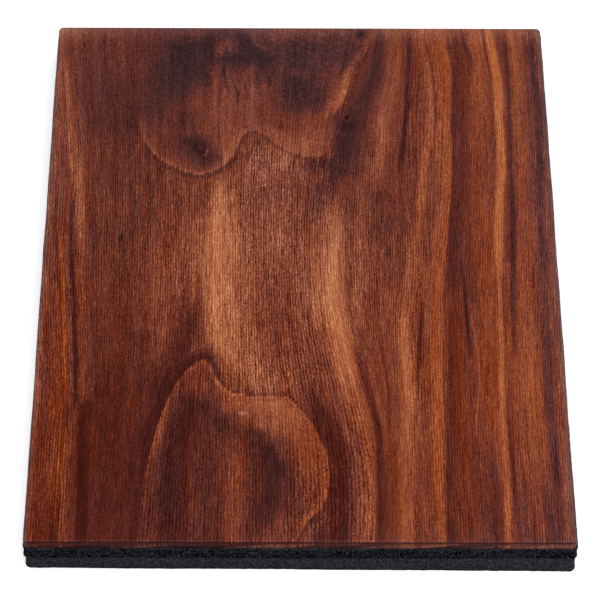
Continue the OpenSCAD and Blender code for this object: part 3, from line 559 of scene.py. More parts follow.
paintedSheenStrokes = [   # painted sheen: a grey reflection painted along the edges, with its amount in the place of the tone
    (11, 11, 0.62, 0.0, [(-112, 134, 0.8), (-30, 134, 0.9), (10, 134, 0.7), (40, 134, 0.3),
        (112, 134, 0.4)]),
    (16, 16, 0.14, 0.0, [(4, -136, 0.4), (30, -136, 0.9), (70, -136, 0.9), (104, -136, 0.4)]),
    (3, 3, 0.30, 0.0, [(-100.5, -132, 0.8), (-100.5, 132, 0.8)]),
    (3, 3, 0.30, 0.0, [(100.5, -132, 0.8), (100.5, 132, 0.8)]),
]

knotStrokes = [   # small knots, dark dots and bright flecks
    (9, 9, 0.19, 0.18, [(19, 78, 0.7), (19.5, 66, 0.9), (18, 52, 0.6)]),
    (4, 4, 0.10, 0.10, [(18.6, 74.4, 0.9), (20, 74.8, 0.9)]),
    (2.2, 2.2, 0.32, 0.40, [(18.8, 79, 0.9), (19.5, 79, 0.9)]),
    (0.5, 0.5, 0.40, 0.30, [(18, 77.2, 0.4), (19.2, 76.8, 0.7), (20.4, 77.2, 0.4)]),
    (1.1, 1.1, -0.1, 0.30, [(18.9, 78.6), (19.3, 79.4)]),
    (3, 3, 0.22, 0.10, [(24.6, 125.4, 0.8), (25.2, 127, 0.8)]),
    (1.1, 1.1, 0.06, 0.15, [(25, 125.4, 0.9), (25.4, 126.4, 0.9)]),
    (2.4, 2.4, 0.06, 0.20, [(-41, 62.5), (-39.5, 59.5)]),
    (0.5, 0.5, 0.55, 0.20, [(-38, 57.6, 0.9), (-37, 61.4, 0.9)]),
    (0.35, 0.35, 0.55, 0.20, [(-41, 63.6, 0.8), (-39.6, 61.6, 0.8)]),
    (0.5, 0.5, 0.85, 0.20, [(-88.8, -10.8), (-88.7, -10.2)]),
    (0.8, 0.8, 1.0, 0.10, [(-22.4, -71.6, 0.7), (-19, -72.6, 0.9)]),
    (1.2, 1.2, 0.08, 0.20, [(-70.4, 13.6, 0.8), (-70, 15.6, 0.8)]),
    (3, 3, 0.08, 0.24, [(-12.5, -92, 0.7), (-12, -89, 0.7)]),
    (3, 3, 0.08, 0.24, [(-7.5, -99, 0.7), (-7, -96, 0.7)]),
]

# Lines that the fine grain follows, from front to rear
flowLines = [
    [(-84, -140), (-84, -66), (-86, -35), (-88.5, 0), (-89.5, 50), (-92, 80), (-95, 110), (-97, 140)],
    [(-60, -140), (-57, -90), (-54, -50), (-54, 0), (-56, 60), (-58, 140)],
    [(-33, -140), (-33, -50), (-33.5, -15), (-34, 20), (-34, 60), (-33, 140)],
    [(-3, -140), (-4, -80), (-7, -40), (-8, 0), (-8, 60), (-6, 140)],
    [(26, -140), (27, -100), (21, -60), (15, -30), (12.5, 0), (13, 30), (18, 75), (28, 120), (31, 140)],
    [(41, -140), (40, -60), (40.5, -30), (43, 10), (42, 75), (45, 110), (44, 140)],
    [(52, -140), (52.4, -50), (54.4, 5), (57.8, 45), (60.2, 85), (60.8, 105), (56, 140)],
    [(76, -140), (75.2, -80), (76.2, -18), (79.4, 40), (81, 90), (78.5, 140)],
    [(93, -140), (93, -60), (94.6, 15), (96.2, 65), (96, 140)],
]

texturePatches = [   # x, y, reach across, reach along, strength of the fine pores and flecks there
    (-14, 0, 36, 74, 1.0), (12, -40, 16, 50, 0.9), (-12, -54, 18, 12, 1.2), (-13, 56, 12, 14, 1.1),
    (8, -122, 7, 14, 1.0), (42, -60, 8, 50, 0.7), (-88, -86, 6, 40, 0.8), (-10, 112, 60, 34, 0.16),
    (-80, 108, 30, 30, 0.3), (70, 96, 40, 56, 0.35), (78, -50, 30, 110, 0.44),
    (-9, -70, 15, 6, 0.3), (3, -82, 8, 10, 0.4),
    (14.5, -6, 5, 26, 0.55), (18, -46, 5, 18, 0.6), (-33, 6, 5, 34, 0.65),
]

grainFigure = {
    "baseTone": 0.38,
    "baseWarmth": 0.5,
    # ripples that stray from the drawn strokes: size, cell across and along (mm), seed
    "strayAcross": ((0.6, 6, 26, 11), (0.2, 2, 9, 12)),
    "strayAlong": (0.35, 5, 7, 13),
    "cloudAcross": (1.0, 7, 7, 14),
    "cloudAlong": (1.0, 7, 7, 15),
    "cloud": (2.2, -22, 110, 40, 20),    # size, x, y, reach across and along, in the rear centre
    "cloudCooling": 0.045,
    "warmthDrift": (0.05, -70, 150),     # size, y of the warmest wood, and mm to the coolest
    "wideStroke": 5.0,                   # mm of reach from which a stroke fades more gently
    "edgeBlur": 0.3,
    "texture": 0.74,
    "lobeTexture": 0.62,                 # share of the texture that is left there
    "tongueTexture": 0.92,
}


def latticeNoise(x, y, seed, size=256):
    # smooth random field with one cell per unit, the same on each run
    table = np.random.default_rng(seed).random((size, size))
    column = np.floor(x).astype(int)
    row = np.floor(y).astype(int)
    fx = x - column
    fy = y - row
    fx = fx * fx * (3 - 2 * fx)
    fy = fy * fy * (3 - 2 * fy)

    def corner(dx, dy):
        return table[(column + dx) % size, (row + dy) % size]

    near = corner(0, 0) * (1 - fx) + corner(1, 0) * fx
    far = corner(0, 1) * (1 - fx) + corner(1, 1) * fx
    return 2 * (near * (1 - fy) + far * fy) - 1


def ripple(x, y, spec):
    size, across, along, seed = spec
    return size * latticeNoise(x / across, y / along, seed)


def hill(x, y, place, reach):
    return np.exp(-((x - place[0]) / reach[0]) ** 2 - ((y - place[1]) / reach[1]) ** 2)


def smoothPath(points, steps=5):
    # Catmull-Rom curve through the points, strengths included
    path = np.array([(*point, 1.0)[:3] for point in points], float)
    if len(path) < 3:
        return path
    padded = np.vstack([2 * path[0] - path[1], path, 2 * path[-1] - path[-2]])
    t = np.linspace(0, 1, steps, endpoint=False)[:, None]
    spans = []
    for k in range(len(path) - 1):
        a, b, c, d = padded[k:k + 4]
        spans.append(0.5 * (2 * b + (c - a) * t + (2 * a - 5 * b + 4 * c - d) * t ** 2
                            + (3 * b - a - 3 * c + d) * t ** 3))
    return np.vstack([*spans, path[-1:]])


def sideDistance(x, y, path):
    # distance to the path, its sign (left positive) and the strength at the nearest point
    best = np.full(x.shape, np.inf)
    side = np.ones(x.shape)
    strength = np.zeros(x.shape)
    for (ax, ay, ak), (bx, by, bk) in zip(path[:-1], path[1:]):
        dx, dy = bx - ax, by - ay
        along = np.clip(((x - ax) * dx + (y - ay) * dy) / (dx * dx + dy * dy), 0, 1)
        reach = np.hypot(x - ax - along * dx, y - ay - along * dy)
        nearer = reach < best
        best = np.where(nearer, reach, best)
        side = np.where(nearer, np.sign(dx * (y - ay) - dy * (x - ax)), side)
        strength = np.where(nearer, ak + along * (bk - ak), strength)
    return best, side, strength


def paint(strokes, x, y, tone, warmth, mask=None):
    for left, right, strokeTone, strokeWarmth, points in strokes:
        path = smoothPath(points)
        reach = max(left, right)
        low = path[:, :2].min(0) - reach
        high = path[:, :2].max(0) + reach
        near = np.flatnonzero((x > low[0]) & (x < high[0]) & (y > low[1]) & (y < high[1]))
        if not len(near):
            continue
        distance, side, strength = sideDistance(x[near], y[near], path)
        share = distance / np.where(side > 0, left, right)
        falloff = 2 if reach >= grainFigure["wideStroke"] else 3
        amount = np.clip(1 - share ** falloff, 0, 1) ** 2 * np.clip(strength, 0, 1)
        if mask is not None:
            amount = amount * mask[near]
        tone[near] += amount * (strokeTone - tone[near])
        warmth[near] += amount * (strokeWarmth - warmth[near])


def insideEdge(x, y, edge, insideSign):
    # 1 on the inner side of an edge, which is the left one for sign 1
    distance, side = sideDistance(x, y, smoothPath(edge))[:2]
    return np.clip(0.5 + insideSign * side * distance / grainFigure["edgeBlur"], 0, 1)


def flowAcross(x, y):
    # each flow line keeps the x that it has at the plate's middle
    lines = [smoothPath(line) for line in flowLines]
    middles = [np.interp(0, line[:, 1], line[:, 0]) for line in lines]
    places = [np.interp(y, line[:, 1], line[:, 0]) for line in lines]
    flow = x - places[0] + middles[0]
    for k in range(len(lines) - 1):
        share = (x - places[k]) / (places[k + 1] - places[k])
        between = middles[k] + share * (middles[k + 1] - middles[k])
        flow = np.where(x > places[k], between, flow)
    return np.where(x > places[-1], x - places[-1] + middles[-1], flow)


def figureOf(x, y, spec):
    # tone, warmth, flow, texture and painted sheen of the grain at each point of the plate
    flow = flowAcross(x, y)
    size, cloudX, cloudY, across, along = spec["cloud"]
    cloud = size * hill(x, y, (cloudX, cloudY), (across, along))
    stray = sum(ripple(flow, y, wave) for wave in spec["strayAcross"])
    wx = x + stray + cloud * ripple(x, y, spec["cloudAcross"])
    wy = y + ripple(x, y, spec["strayAlong"]) + cloud * ripple(x, y, spec["cloudAlong"])
    tone = np.full(x.shape, spec["baseTone"])
    warmth = np.full(x.shape, spec["baseWarmth"])
    paint(groundStrokes, wx, wy, tone, warmth)
    paint(streakStrokes, wx, wy, tone, warmth)
    inLobes = insideEdge(wx, wy, lobeEdge, 1)
    inTongue = insideEdge(wx, wy, tongueEdge, -1)
    paint(lobeStrokes, wx, wy, tone, warmth, inLobes)
    paint(tongueStrokes, wx, wy, tone, warmth, inTongue)
    # painted sheen: paler, cooler tone along the rear edge
    paint(paintedRearSheenStrokes, x, y, tone, warmth)
    paint(knotStrokes, x, y, tone, warmth)
    # amounts of the painted sheen, a grey reflection painted along the edges
    paintedSheen = np.zeros(x.shape)
    paint(paintedSheenStrokes, x, y, paintedSheen, np.zeros(x.shape))
    drift, warmest, halfWave = spec["warmthDrift"]
    warmth += drift * np.cos(np.pi * (y - warmest) / halfWave) - spec["cloudCooling"] * cloud
    fleck = np.full(x.shape, spec["texture"])
    for px, py, across, along, strength in texturePatches:
        fleck += hill(x, y, (px, py), (across, along)) * (strength - fleck)
    fleck *= 1 - (1 - spec["lobeTexture"]) * inLobes - (1 - spec["tongueTexture"]) * inTongue
    return {"grainTone": tone, "grainWarmth": warmth, "grainFlow": flow,
            "grainFleck": fleck, "grainPaintedSheen": paintedSheen}


def plateGrid(low, high, spec, axis):
    # grid lines with a few short cells inside each rounded corner
    half = (high[axis] - low[axis]) / 2 / mm
    inner = half - spec["cornerRadius"]
    outer = half - spec["edgeRadius"]
    count = round(2 * inner / spec["cell"][axis])
    corner = np.linspace(inner, outer, spec["cornerCells"] + 1)[1:]
    return np.concatenate([-corner[::-1], np.linspace(-inner, inner, count + 1), corner])


def edgeRings(spec, top, bottom):
    # how far out and how high each ring lies: round the eased edge, then straight down the side
    radius = spec["edgeRadius"]
    rings = []
    for k in range(1, spec["edgeSteps"] + 1):
        turn = math.pi / 2 * k / spec["edgeSteps"]
        rings.append((radius * math.sin(turn), top - radius * (1 - math.cos(turn))))
    drop = top - radius - bottom
    for k in range(1, spec["sideSteps"] + 1):
        rings.append((radius, top - radius - drop * k / spec["sideSteps"]))
    return rings


def paintEdgeToneAndLight(spec, figure, first, x, y, reach):
    # tone of each ring with the edge's painted highlight, painted shade and painted light, and slanted
    # grain with a slow change of tone on the sides
    streaks = spec["edgeStreaks"]
    count = len(x)
    for k, (factor, lift, warming) in enumerate((*spec["arrisPaintedLight"], *spec["sideGrainAndPaintedLight"])):
        ring = slice(first + k * count, first + (k + 1) * count)
        figure["grainTone"][ring] = figure["grainTone"][ring] * factor + lift
        figure["grainWarmth"][ring] *= warming
        if k >= spec["edgeSteps"]:
            place = (x + y + streaks["lean"] * k) / streaks["length"]
            slant = latticeNoise(place, np.zeros(count), streaks["seed"])
            figure["grainTone"][ring] += streaks["tone"] * slant + spec["edgeSlope"] * x / reach


def makeWalnutPlate(spec):
    low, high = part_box("walnut_top")
    gx = plateGrid(low, high, spec, 0)
    gy = plateGrid(low, high, spec, 1)
    nx, ny = len(gx), len(gy)
    x, y = (a.ravel() for a in np.meshgrid(gx, gy))
    # pull the grid's corners in to their arcs
    corner = np.where(y < 0, spec["frontRadius"], spec["cornerRadius"])
    innerX = gx[-1] + spec["edgeRadius"] - corner
    innerY = gy[-1] + spec["edgeRadius"] - corner
    overX = np.maximum(np.abs(x) - innerX, 0)
    overY = np.maximum(np.abs(y) - innerY, 0)
    inCorner = (overX > 0) & (overY > 0)
    diagonal = np.where(inCorner, np.hypot(overX, overY), 1.0)
    rounding = np.maximum(overX, overY) / diagonal
    x = np.sign(x) * np.where(inCorner, innerX + overX * rounding, np.abs(x))
    y = np.sign(y) * np.where(inCorner, innerY + overY * rounding, np.abs(y))

    index = np.arange(nx * ny).reshape(ny, nx)
    quads = np.stack([index[:-1, :-1], index[:-1, 1:], index[1:, 1:], index[1:, :-1]], -1).reshape(-1, 4)
    loop = np.concatenate([index[0, :-1], index[:-1, -1], index[-1, :0:-1], index[:0:-1, 0]])
    rimX, rimY = x[loop], y[loop]
    outX = np.sign(rimX) * np.maximum(np.abs(rimX) - innerX[loop], 0)
    outY = np.sign(rimY) * np.maximum(np.abs(rimY) - innerY[loop], 0)
    span = np.hypot(outX, outY)
    outX, outY = outX / span, outY / span

    top = high.z / mm
    points = [np.stack([x, y, np.full(nx * ny, top)], -1)]
    faces = [quads]
    previous = loop
    for k, (out, height) in enumerate(edgeRings(spec, top, low.z / mm)):
        points.append(np.stack([rimX + out * outX, rimY + out * outY, np.full(len(loop), height)], -1))
        ring = nx * ny + k * len(loop) + np.arange(len(loop))
        faces.append(np.stack([previous, ring, np.roll(ring, -1), np.roll(previous, -1)], -1))
        previous = ring
    points = np.concatenate(points)
    underside = previous[::-1].tolist()

    mesh = bpy.data.meshes.new("walnutPlate")
    mesh.from_pydata((points * mm).tolist(), [], [*np.concatenate(faces).tolist(), underside])
    mesh.shade_smooth()
    mesh.set_sharp_from_angle(angle=math.radians(spec["sharpAngle"]))
    figure = figureOf(points[:, 0], points[:, 1], grainFigure)
    paintEdgeToneAndLight(spec, figure, nx * ny, rimX, rimY, innerX[loop])
    for name, values in figure.items():
        attribute = mesh.attributes.new(name, "FLOAT", "POINT")
        attribute.data.foreach_set("value", values.astype(np.float32))
    plate = bpy.data.objects.new("walnutPlate", mesh)
    bpy.context.scene.collection.objects.link(plate)
    return plate


walnutFinish = {
    # tones and their colours from dark to light, for purple and for orange wood
    "purple": [(0.0, (46, 20, 20)), (0.2, (62, 40, 42)), (0.36, (87, 53, 54)),
               (0.53, (114, 69, 64)), (0.77, (145, 95, 83)), (1.0, (177, 122, 103)),
               (1.3, (212, 157, 135))],
    "orange": [(0.0, (69, 15, 4)), (0.2, (101, 34, 8)), (0.36, (126, 48, 13)),
               (0.53, (149, 65, 20)), (0.77, (175, 90, 36)), (1.0, (198, 113, 56)),
               (1.3, (228, 144, 85))],
    # colour of the painted sheen, a grey reflection painted along the edges
    "paintedSheen": (108, 78, 80),
    # cell across the grain, along it and down the plate's edge (mm), shift, detail and roughness
    "noises": {
        "broadStreaks": ((2.8, 80.0, 40.0), noShift, 2.0, 0.55),
        "fibres": ((0.75, 22.0, 9.0), (7.0, 3.0, 0.0), 2.0, 0.6),
        "pores": ((0.20, 0.9, 0.6), (5.0, 1.0, 0.0), 1.0, 0.5),
        "sway": ((0.6, 6.0, 3.0), (3.0, 4.0, 0.0), 2.0, 0.5),
        "dash": ((0.6, 1.5, 1.0), (8.0, 5.0, 0.0), 1.0, 0.5),
        "mottle": ((0.8, 1.2, 0.8), (2.0, 7.0, 0.0), 1.0, 0.5),
        "pale": ((0.5, 6.0, 0.7), (1.0, 6.0, 0.0), 1.0, 0.5),
        "hue": ((1.6, 40.0, 12.0), (9.0, 2.0, 0.0), 2.0, 0.6),
    },
    # how far each of them swings the tone
    "swing": {"broadStreaks": 0.48, "fibres": 0.70, "pores": 1.4, "lines": 0.48, "mottle": 0.22},
    "linePitch": 1.0,        # mm across the grain
    "lineSway": 1.7,
    "fleckLift": 0.16,
    # ranges: a low and a high value, and what these become
    "toneRange": (0.0, 1.0, -0.035, 1.065),
    "warmthRange": (0.0, 1.0, -0.05, 1.06),
    "darkTexture": (0.05, 0.55, 0.45, 1.0),   # less texture where the wood is darkest
    "fibreShare": (0.2, 0.9, 0.6, 1.0),       # from cloudy wood to wood full of pores, as the next two
    "cloudMottle": (0.2, 0.6, 3.2, 1.0),
    "cloudHue": (0.2, 0.6, 0.4, 1.0),
    "dashes": (0.38, 0.62, 0.1, 1.0),
    "flecks": (0.60, 0.76, 0.0, 1.0),
    "hueByTone": (0.25, 0.7, 0.9, 0.35),
    "hueByWarmth": (0.1, 0.45, 0.3, 1.0),
    "roughness": (0.3, 0.7, 0.20, 0.30),
    "sheen": 0.03,
    "fibreRelief": 0.4,
    "relief": 0.015,         # mm
}


def walnutMaterial(spec):
    material, tree, shader = newMaterial("walnutFinish")

    def attribute(name):
        return addNode(tree, "ShaderNodeAttribute", attribute_name=name).outputs["Fac"]

    def plus(first, second):
        return calc(tree, "ADD", first, second)

    def times(first, second):
        return calc(tree, "MULTIPLY", first, second)

    def ranged(value, key):
        return remap(tree, value, *spec[key])

    def swingOf(value):
        return calc(tree, "SUBTRACT", value, noiseMiddle)

    # grain coordinates, already in mm: across the flow, along the plate and down its edge
    place = addNode(tree, "ShaderNodeTexCoord").outputs["Object"]
    axes = addNode(tree, "ShaderNodeSeparateXYZ", {"Vector": place}).outputs
    flow = attribute("grainFlow")
    grain = addNode(tree, "ShaderNodeCombineXYZ",
                    {"X": flow, "Y": times(axes["Y"], 1 / mm), "Z": times(axes["Z"], 1 / mm)}).outputs[0]
    fields = {name: noise(tree, grain, field, unit=1.0) for name, field in spec["noises"].items()}
    # fine vessel lines, unevenly spaced and broken into dashes
    turns = plus(calc(tree, "DIVIDE", flow, spec["linePitch"]), times(fields["sway"], spec["lineSway"]))
    wave = calc(tree, "SINE", times(turns, math.tau))
    fields["lines"] = plus(times(wave, ranged(fields["dash"], "dashes")), noiseMiddle)

    plainTone = ranged(attribute("grainTone"), "toneRange")
    fleck = attribute("grainFleck")
    lively = ranged(plainTone, "darkTexture")
    local = times(fleck, lively)
    shares = {
        "broadStreaks": lively,
        "fibres": times(lively, ranged(fleck, "fibreShare")),
        "pores": local,
        "lines": local,
        "mottle": times(lively, ranged(fleck, "cloudMottle")),
    }
    tone = plainTone
    for name, share in shares.items():
        tone = plus(tone, times(times(swingOf(fields[name]), spec["swing"][name]), share))
    tone = plus(tone, times(times(ranged(fields["pale"], "flecks"), local), spec["fleckLift"]))

    warmth = attribute("grainWarmth")
    hueSwing = times(swingOf(fields["hue"]), ranged(plainTone, "hueByTone"))
    hueSwing = times(hueSwing, ranged(warmth, "hueByWarmth"))
    hueSwing = times(hueSwing, ranged(fleck, "cloudHue"))
    warmth = ranged(plus(warmth, hueSwing), "warmthRange")
    ramps = []
    for key in ("purple", "orange"):
        top = spec[key][-1][0]
        stops = [(stop / top, rgb) for stop, rgb in spec[key]]
        ramps.append(colourRamp(tree, calc(tree, "DIVIDE", tone, top), stops))
    colour = mixColour(tree, warmth, *ramps)
    # painted sheen: the grey reflection colour mixed in along the edges
    colour = mixColour(tree, attribute("grainPaintedSheen"), colour, linear(spec["paintedSheen"]))
    relief = plus(times(fields["fibres"], spec["fibreRelief"]), fields["pores"])
    dress(tree, shader, colour, ranged(fields["fibres"], "roughness"), relief, spec["relief"] * mm,
          {"Specular IOR Level": spec["sheen"]})
    return material


walnut = makeWalnutPlate(walnutPlate)
walnut.data.materials.append(walnutMaterial(walnutFinish))
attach(walnut, "plate")
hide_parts("walnut_top")
print("walnut plate made,", len(walnut.data.polygons), "faces")


# Foam layer and rubber mat: slabs cut by hand, grown from their outline by one node tree

foamSlab = {
    "sides": (-100.2, 100.35, 130.5),   # left, right and rear edge
    "front": (-130.5, -130.5),          # at the left and at the right end
    "cornerRadius": 1.5,
    "notch": (12.5, 90.0),        # half width and front end
    "channel": (4.0, 12.5),       # half width, and radius of the round pocket that it ends in
    "step": 1.3,
    "Edge Ease": 0.25,
    "Wave": 0.30,
    "Wave Cell": 26.0,
    "Ragged": 0.16,
    "Ragged Cell": 2.2,
    "Seed": 3.0,
}
rubberMat = {
    "sides": (-99.9, 100.2, 130.5),
    "front": (-129.3, -130.5),
    "cornerRadius": 2.0,
    "notch": (12.5, 90.0),
    "channel": None,
    "step": 1.3,
    "Edge Ease": 0.35,
    "Wave": 0.35,
    "Wave Cell": 34.0,
    "Ragged": 0.30,
    "Ragged Cell": 2.4,
    "Seed": 8.0,
}
slabSizes = ("Edge Ease", "Wave", "Wave Cell", "Ragged", "Ragged Cell")   # the tree's inputs in mm


def arc(centre, radius, start, end, steps=6):
    turns = [math.radians(start + (end - start) * k / steps) for k in range(steps + 1)]
    return [(centre[0] + radius * math.cos(turn), centre[1] + radius * math.sin(turn)) for turn in turns]


def slabOutline(spec, pocketSteps=40):
    # counter-clockwise from the front left, with the jack notch in the rear edge
    left, right, rear = spec["sides"]
    frontLeft, frontRight = spec["front"]
    r = spec["cornerRadius"]
    points = arc((left + r, frontLeft + r), r, 180, 270)
    points += arc((right - r, frontRight + r), r, 270, 360)
    points += arc((right - r, rear - r), r, 0, 90)
    notchHalf, notchEnd = spec["notch"]
    points += [(notchHalf, rear), (notchHalf, notchEnd)]
    if spec["channel"]:
        half, pocket = spec["channel"]
        meet = math.degrees(math.acos(half / pocket))
        points.append((half, notchEnd))
        points += arc((0.0, 0.0), pocket, meet, -180 - meet, pocketSteps)
        points.append((-half, notchEnd))
    points += [(-notchHalf, notchEnd), (-notchHalf, rear)]
    points += arc((left + r, rear - r), r, 90, 180)
    fine = []
    for (ax, ay), (bx, by) in zip(points, points[1:] + points[:1]):
        pieces = max(1, round(math.hypot(bx - ax, by - ay) / spec["step"]))
        fine += [(ax + (bx - ax) * k / pieces, ay + (by - ay) * k / pieces) for k in range(pieces)]
    return fine


def slabTree(layers=5, weld=1e-5, rimFrom=0.49):
    # rimFrom: share of the thickness from the middle past which a point is on the rim
    tree = bpy.data.node_groups.new("cutSlab", "GeometryNodeTree")
    tree.interface.new_socket("Outline", in_out="INPUT", socket_type="NodeSocketGeometry")
    for name in ("Base", "Thickness", *slabSizes, "Seed"):
        tree.interface.new_socket(name, in_out="INPUT", socket_type="NodeSocketFloat")
    tree.interface.new_socket("Finish", in_out="INPUT", socket_type="NodeSocketMaterial")
    tree.interface.new_socket("Slab", in_out="OUTPUT", socket_type="NodeSocketGeometry")
    given = addNode(tree, "NodeGroupInput").outputs
    thickness = given["Thickness"]

    def upward(height):
        return addNode(tree, "ShaderNodeCombineXYZ", {"Z": height}).outputs[0]

    # walls in layers, and a flat cap above and below
    rise = upward(calc(tree, "DIVIDE", thickness, layers))
    wall = given["Outline"]
    upper = None
    for layer in range(layers):
        inputs = {"Mesh": wall, "Offset": rise, "Offset Scale": 1.0}
        if upper:
            inputs["Selection"] = upper
        step = addNode(tree, "GeometryNodeExtrudeMesh", inputs, mode="EDGES")
        wall, upper = step.outputs["Mesh"], step.outputs["Top"]
    loop = addNode(tree, "GeometryNodeMeshToCurve", {"Mesh": given["Outline"]}).outputs[0]
    cap = addNode(tree, "GeometryNodeFillCurve", {"Curve": loop}, mode="TRIANGLES").outputs[0]
    lid = addNode(tree, "GeometryNodeTransform", {"Geometry": cap, "Translation": upward(thickness)})
    floor = addNode(tree, "GeometryNodeFlipFaces", {"Mesh": cap})
    joined = addNode(tree, "GeometryNodeJoinGeometry")
    for part in (wall, lid.outputs[0], floor.outputs[0]):
        tree.links.new(part, joined.inputs[0])
    body = addNode(tree, "GeometryNodeMergeByDistance", {"Geometry": joined.outputs[0], "Distance": weld})

    # push the walls in and out: eased rims, a slow wave and a ragged cut
    position = addNode(tree, "GeometryNodeInputPosition").outputs[0]
    facing = addNode(tree, "GeometryNodeInputNormal").outputs[0]
    normal = addNode(tree, "ShaderNodeSeparateXYZ", {0: facing}).outputs
    flat = addNode(tree, "ShaderNodeCombineXYZ", {"X": normal["X"], "Y": normal["Y"]}).outputs[0]
    outward = addNode(tree, "ShaderNodeVectorMath", {0: flat}, operation="NORMALIZE").outputs[0]
    height = addNode(tree, "ShaderNodeSeparateXYZ", {0: position}).outputs["Z"]
    middle = calc(tree, "MULTIPLY", thickness, 0.5)
    fromMiddle = calc(tree, "ABSOLUTE", calc(tree, "SUBTRACT", height, middle))
    rim = calc(tree, "GREATER_THAN", fromMiddle, calc(tree, "MULTIPLY", thickness, rimFrom))
    push = calc(tree, "MULTIPLY", calc(tree, "MULTIPLY", rim, given["Edge Ease"]), -1.0)
    for size, cell in (("Wave", "Wave Cell"), ("Ragged", "Ragged Cell")):
        perCell = calc(tree, "DIVIDE", 1.0, given[cell])
        spread = addNode(tree, "ShaderNodeVectorMath", {0: position, "Scale": perCell}, operation="SCALE")
        field = addNode(tree, "ShaderNodeTexNoise", {"Vector": spread.outputs[0], "W": given["Seed"],
                                                     "Scale": 1.0, "Detail": 1.0}, noise_dimensions="4D")
        swing = calc(tree, "SUBTRACT", field.outputs[0], noiseMiddle)
        swing = calc(tree, "MULTIPLY", swing, 2.0)   # now from -1 to 1
        push = calc(tree, "ADD", push, calc(tree, "MULTIPLY", swing, given[size]))
    move = addNode(tree, "ShaderNodeVectorMath", {0: outward, "Scale": push}, operation="SCALE").outputs[0]
    shaped = addNode(tree, "GeometryNodeSetPosition", {"Geometry": body.outputs[0], "Offset": move})
    seated = addNode(tree, "GeometryNodeTransform",
                     {"Geometry": shaped.outputs[0], "Translation": upward(given["Base"])})
    real = addNode(tree, "GeometryNodeRealizeInstances", {"Geometry": seated.outputs[0]})
    dressed = addNode(tree, "GeometryNodeSetMaterial",
                      {"Geometry": real.outputs[0], "Material": given["Finish"]})
    addNode(tree, "NodeGroupOutput", {"Slab": dressed.outputs[0]})
    return tree


def makeSlab(name, node, spec, tree, material):
    low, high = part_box(node)
    outline = slabOutline(spec)
    count = len(outline)
    source = bpy.data.meshes.new(name + "Outline")
    source.from_pydata([(x * mm, y * mm, 0.0) for x, y in outline],
                       [(k, (k + 1) % count) for k in range(count)], [])
    holder = bpy.data.objects.new(name + "Outline", source)
    bpy.context.scene.collection.objects.link(holder)
    modifier = holder.modifiers.new("cutSlab", "NODES")
    modifier.node_group = tree
    values = {"Base": low.z, "Thickness": high.z - low.z, "Seed": spec["Seed"], "Finish": material}
    for key in slabSizes:
        values[key] = spec[key] * mm
    for item in tree.interface.items_tree:
        if item.in_out == "INPUT" and item.name in values:
            modifier[item.identifier] = values[item.name]
    evaluated = holder.evaluated_get(bpy.context.evaluated_depsgraph_get())
    mesh = bpy.data.meshes.new_from_object(evaluated)
    mesh.name = name
    bpy.data.objects.remove(holder)
    shape = bmesh.new()
    shape.from_mesh(mesh)
    bmesh.ops.recalc_face_normals(shape, faces=shape.faces)
    for face in shape.faces:
        face.smooth = abs(face.normal.z) < 0.5   # walls smooth, caps flat
    shape.to_mesh(mesh)
    shape.free()
    slab = bpy.data.objects.new(name, mesh)
    bpy.context.scene.collection.objects.link(slab)
    return slab


rubberTexture = {   # shared by foam and mat
    "blotch": ((6.0, 6.0, 6.0), noShift, 4.0, 0.65),   # noises as on the walnut
    "grit": ((0.7, 0.7, 0.7), noShift, 2.0, 0.6),
    "dust": ((0.6, 0.6, 0.6), (3.0, 1.0, 2.0), 1.0, 0.5),
    "shares": {"cells": 0.3, "blotch": 0.20, "grit": 0.65},
    "dustRange": (0.64, 0.72, 0.0, 1.0),
    "paintedRimLightBand": (0.6, 0.1),        # mm below the top, where the painted light catch lies
    "blotchRange": (0.3, 0.7),    # gives the roughness
}
foamFinish = {
    "dark": (1, 1, 3),
    "light": (68, 68, 78),
    "span": (0.54, 0.89),         # shades of the two colours
    "cell": 0.6,                  # mm
    "pit": 0.05,                  # mm
    "sheen": 0.01,
    "roughness": (0.80, 0.95),
    "specks": 0.3,
    # strength of the painted light catch along the top rim
    "rim": 0.06,
}
matFinish = {
    "dark": (16, 16, 19),
    "light": (72, 70, 78),
    "span": (0.48, 0.82),
    "cell": 0.8,
    "pit": 0.035,
    "sheen": 0.03,
    "roughness": (0.62, 0.85),
    "specks": 0.15,
    # strength of the painted light catch along the top rim
    "rim": 0.1,
}


def rubberMaterial(name, node, spec, shared):
    # fine closed cells with blotchy shade, a few pale specks of dust and a painted light catch along the
    # top rim
    material, tree, shader = newMaterial(name)
    place = addNode(tree, "ShaderNodeTexCoord").outputs["Object"]
    cells = addNode(tree, "ShaderNodeTexVoronoi", {"Vector": place, "Scale": 1 / (spec["cell"] * mm)})
    blotch, grit, dust = (noise(tree, place, shared[key]) for key in ("blotch", "grit", "dust"))
    height = addNode(tree, "ShaderNodeSeparateXYZ", {"Vector": place}).outputs["Z"]
    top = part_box(node)[1].z
    paintedRimLow, paintedRimHigh = (top - depth * mm for depth in shared["paintedRimLightBand"])
    shares = shared["shares"]
    # the last part is the painted light catch along the top rim
    shade = weightedSum(tree, (cells.outputs["Distance"], shares["cells"]), (blotch, shares["blotch"]),
                        (grit, shares["grit"]), (remap(tree, dust, *shared["dustRange"]), spec["specks"]),
                        (remap(tree, height, paintedRimLow, paintedRimHigh, 0.0, 1.0), spec["rim"]))
    low, high = spec["span"]
    colour = colourRamp(tree, shade, [(low, spec["dark"]), (high, spec["light"])])
    roughness = remap(tree, blotch, *shared["blotchRange"], *spec["roughness"])
    dress(tree, shader, colour, roughness, shade, spec["pit"] * mm, {"Specular IOR Level": spec["sheen"]})
    return material


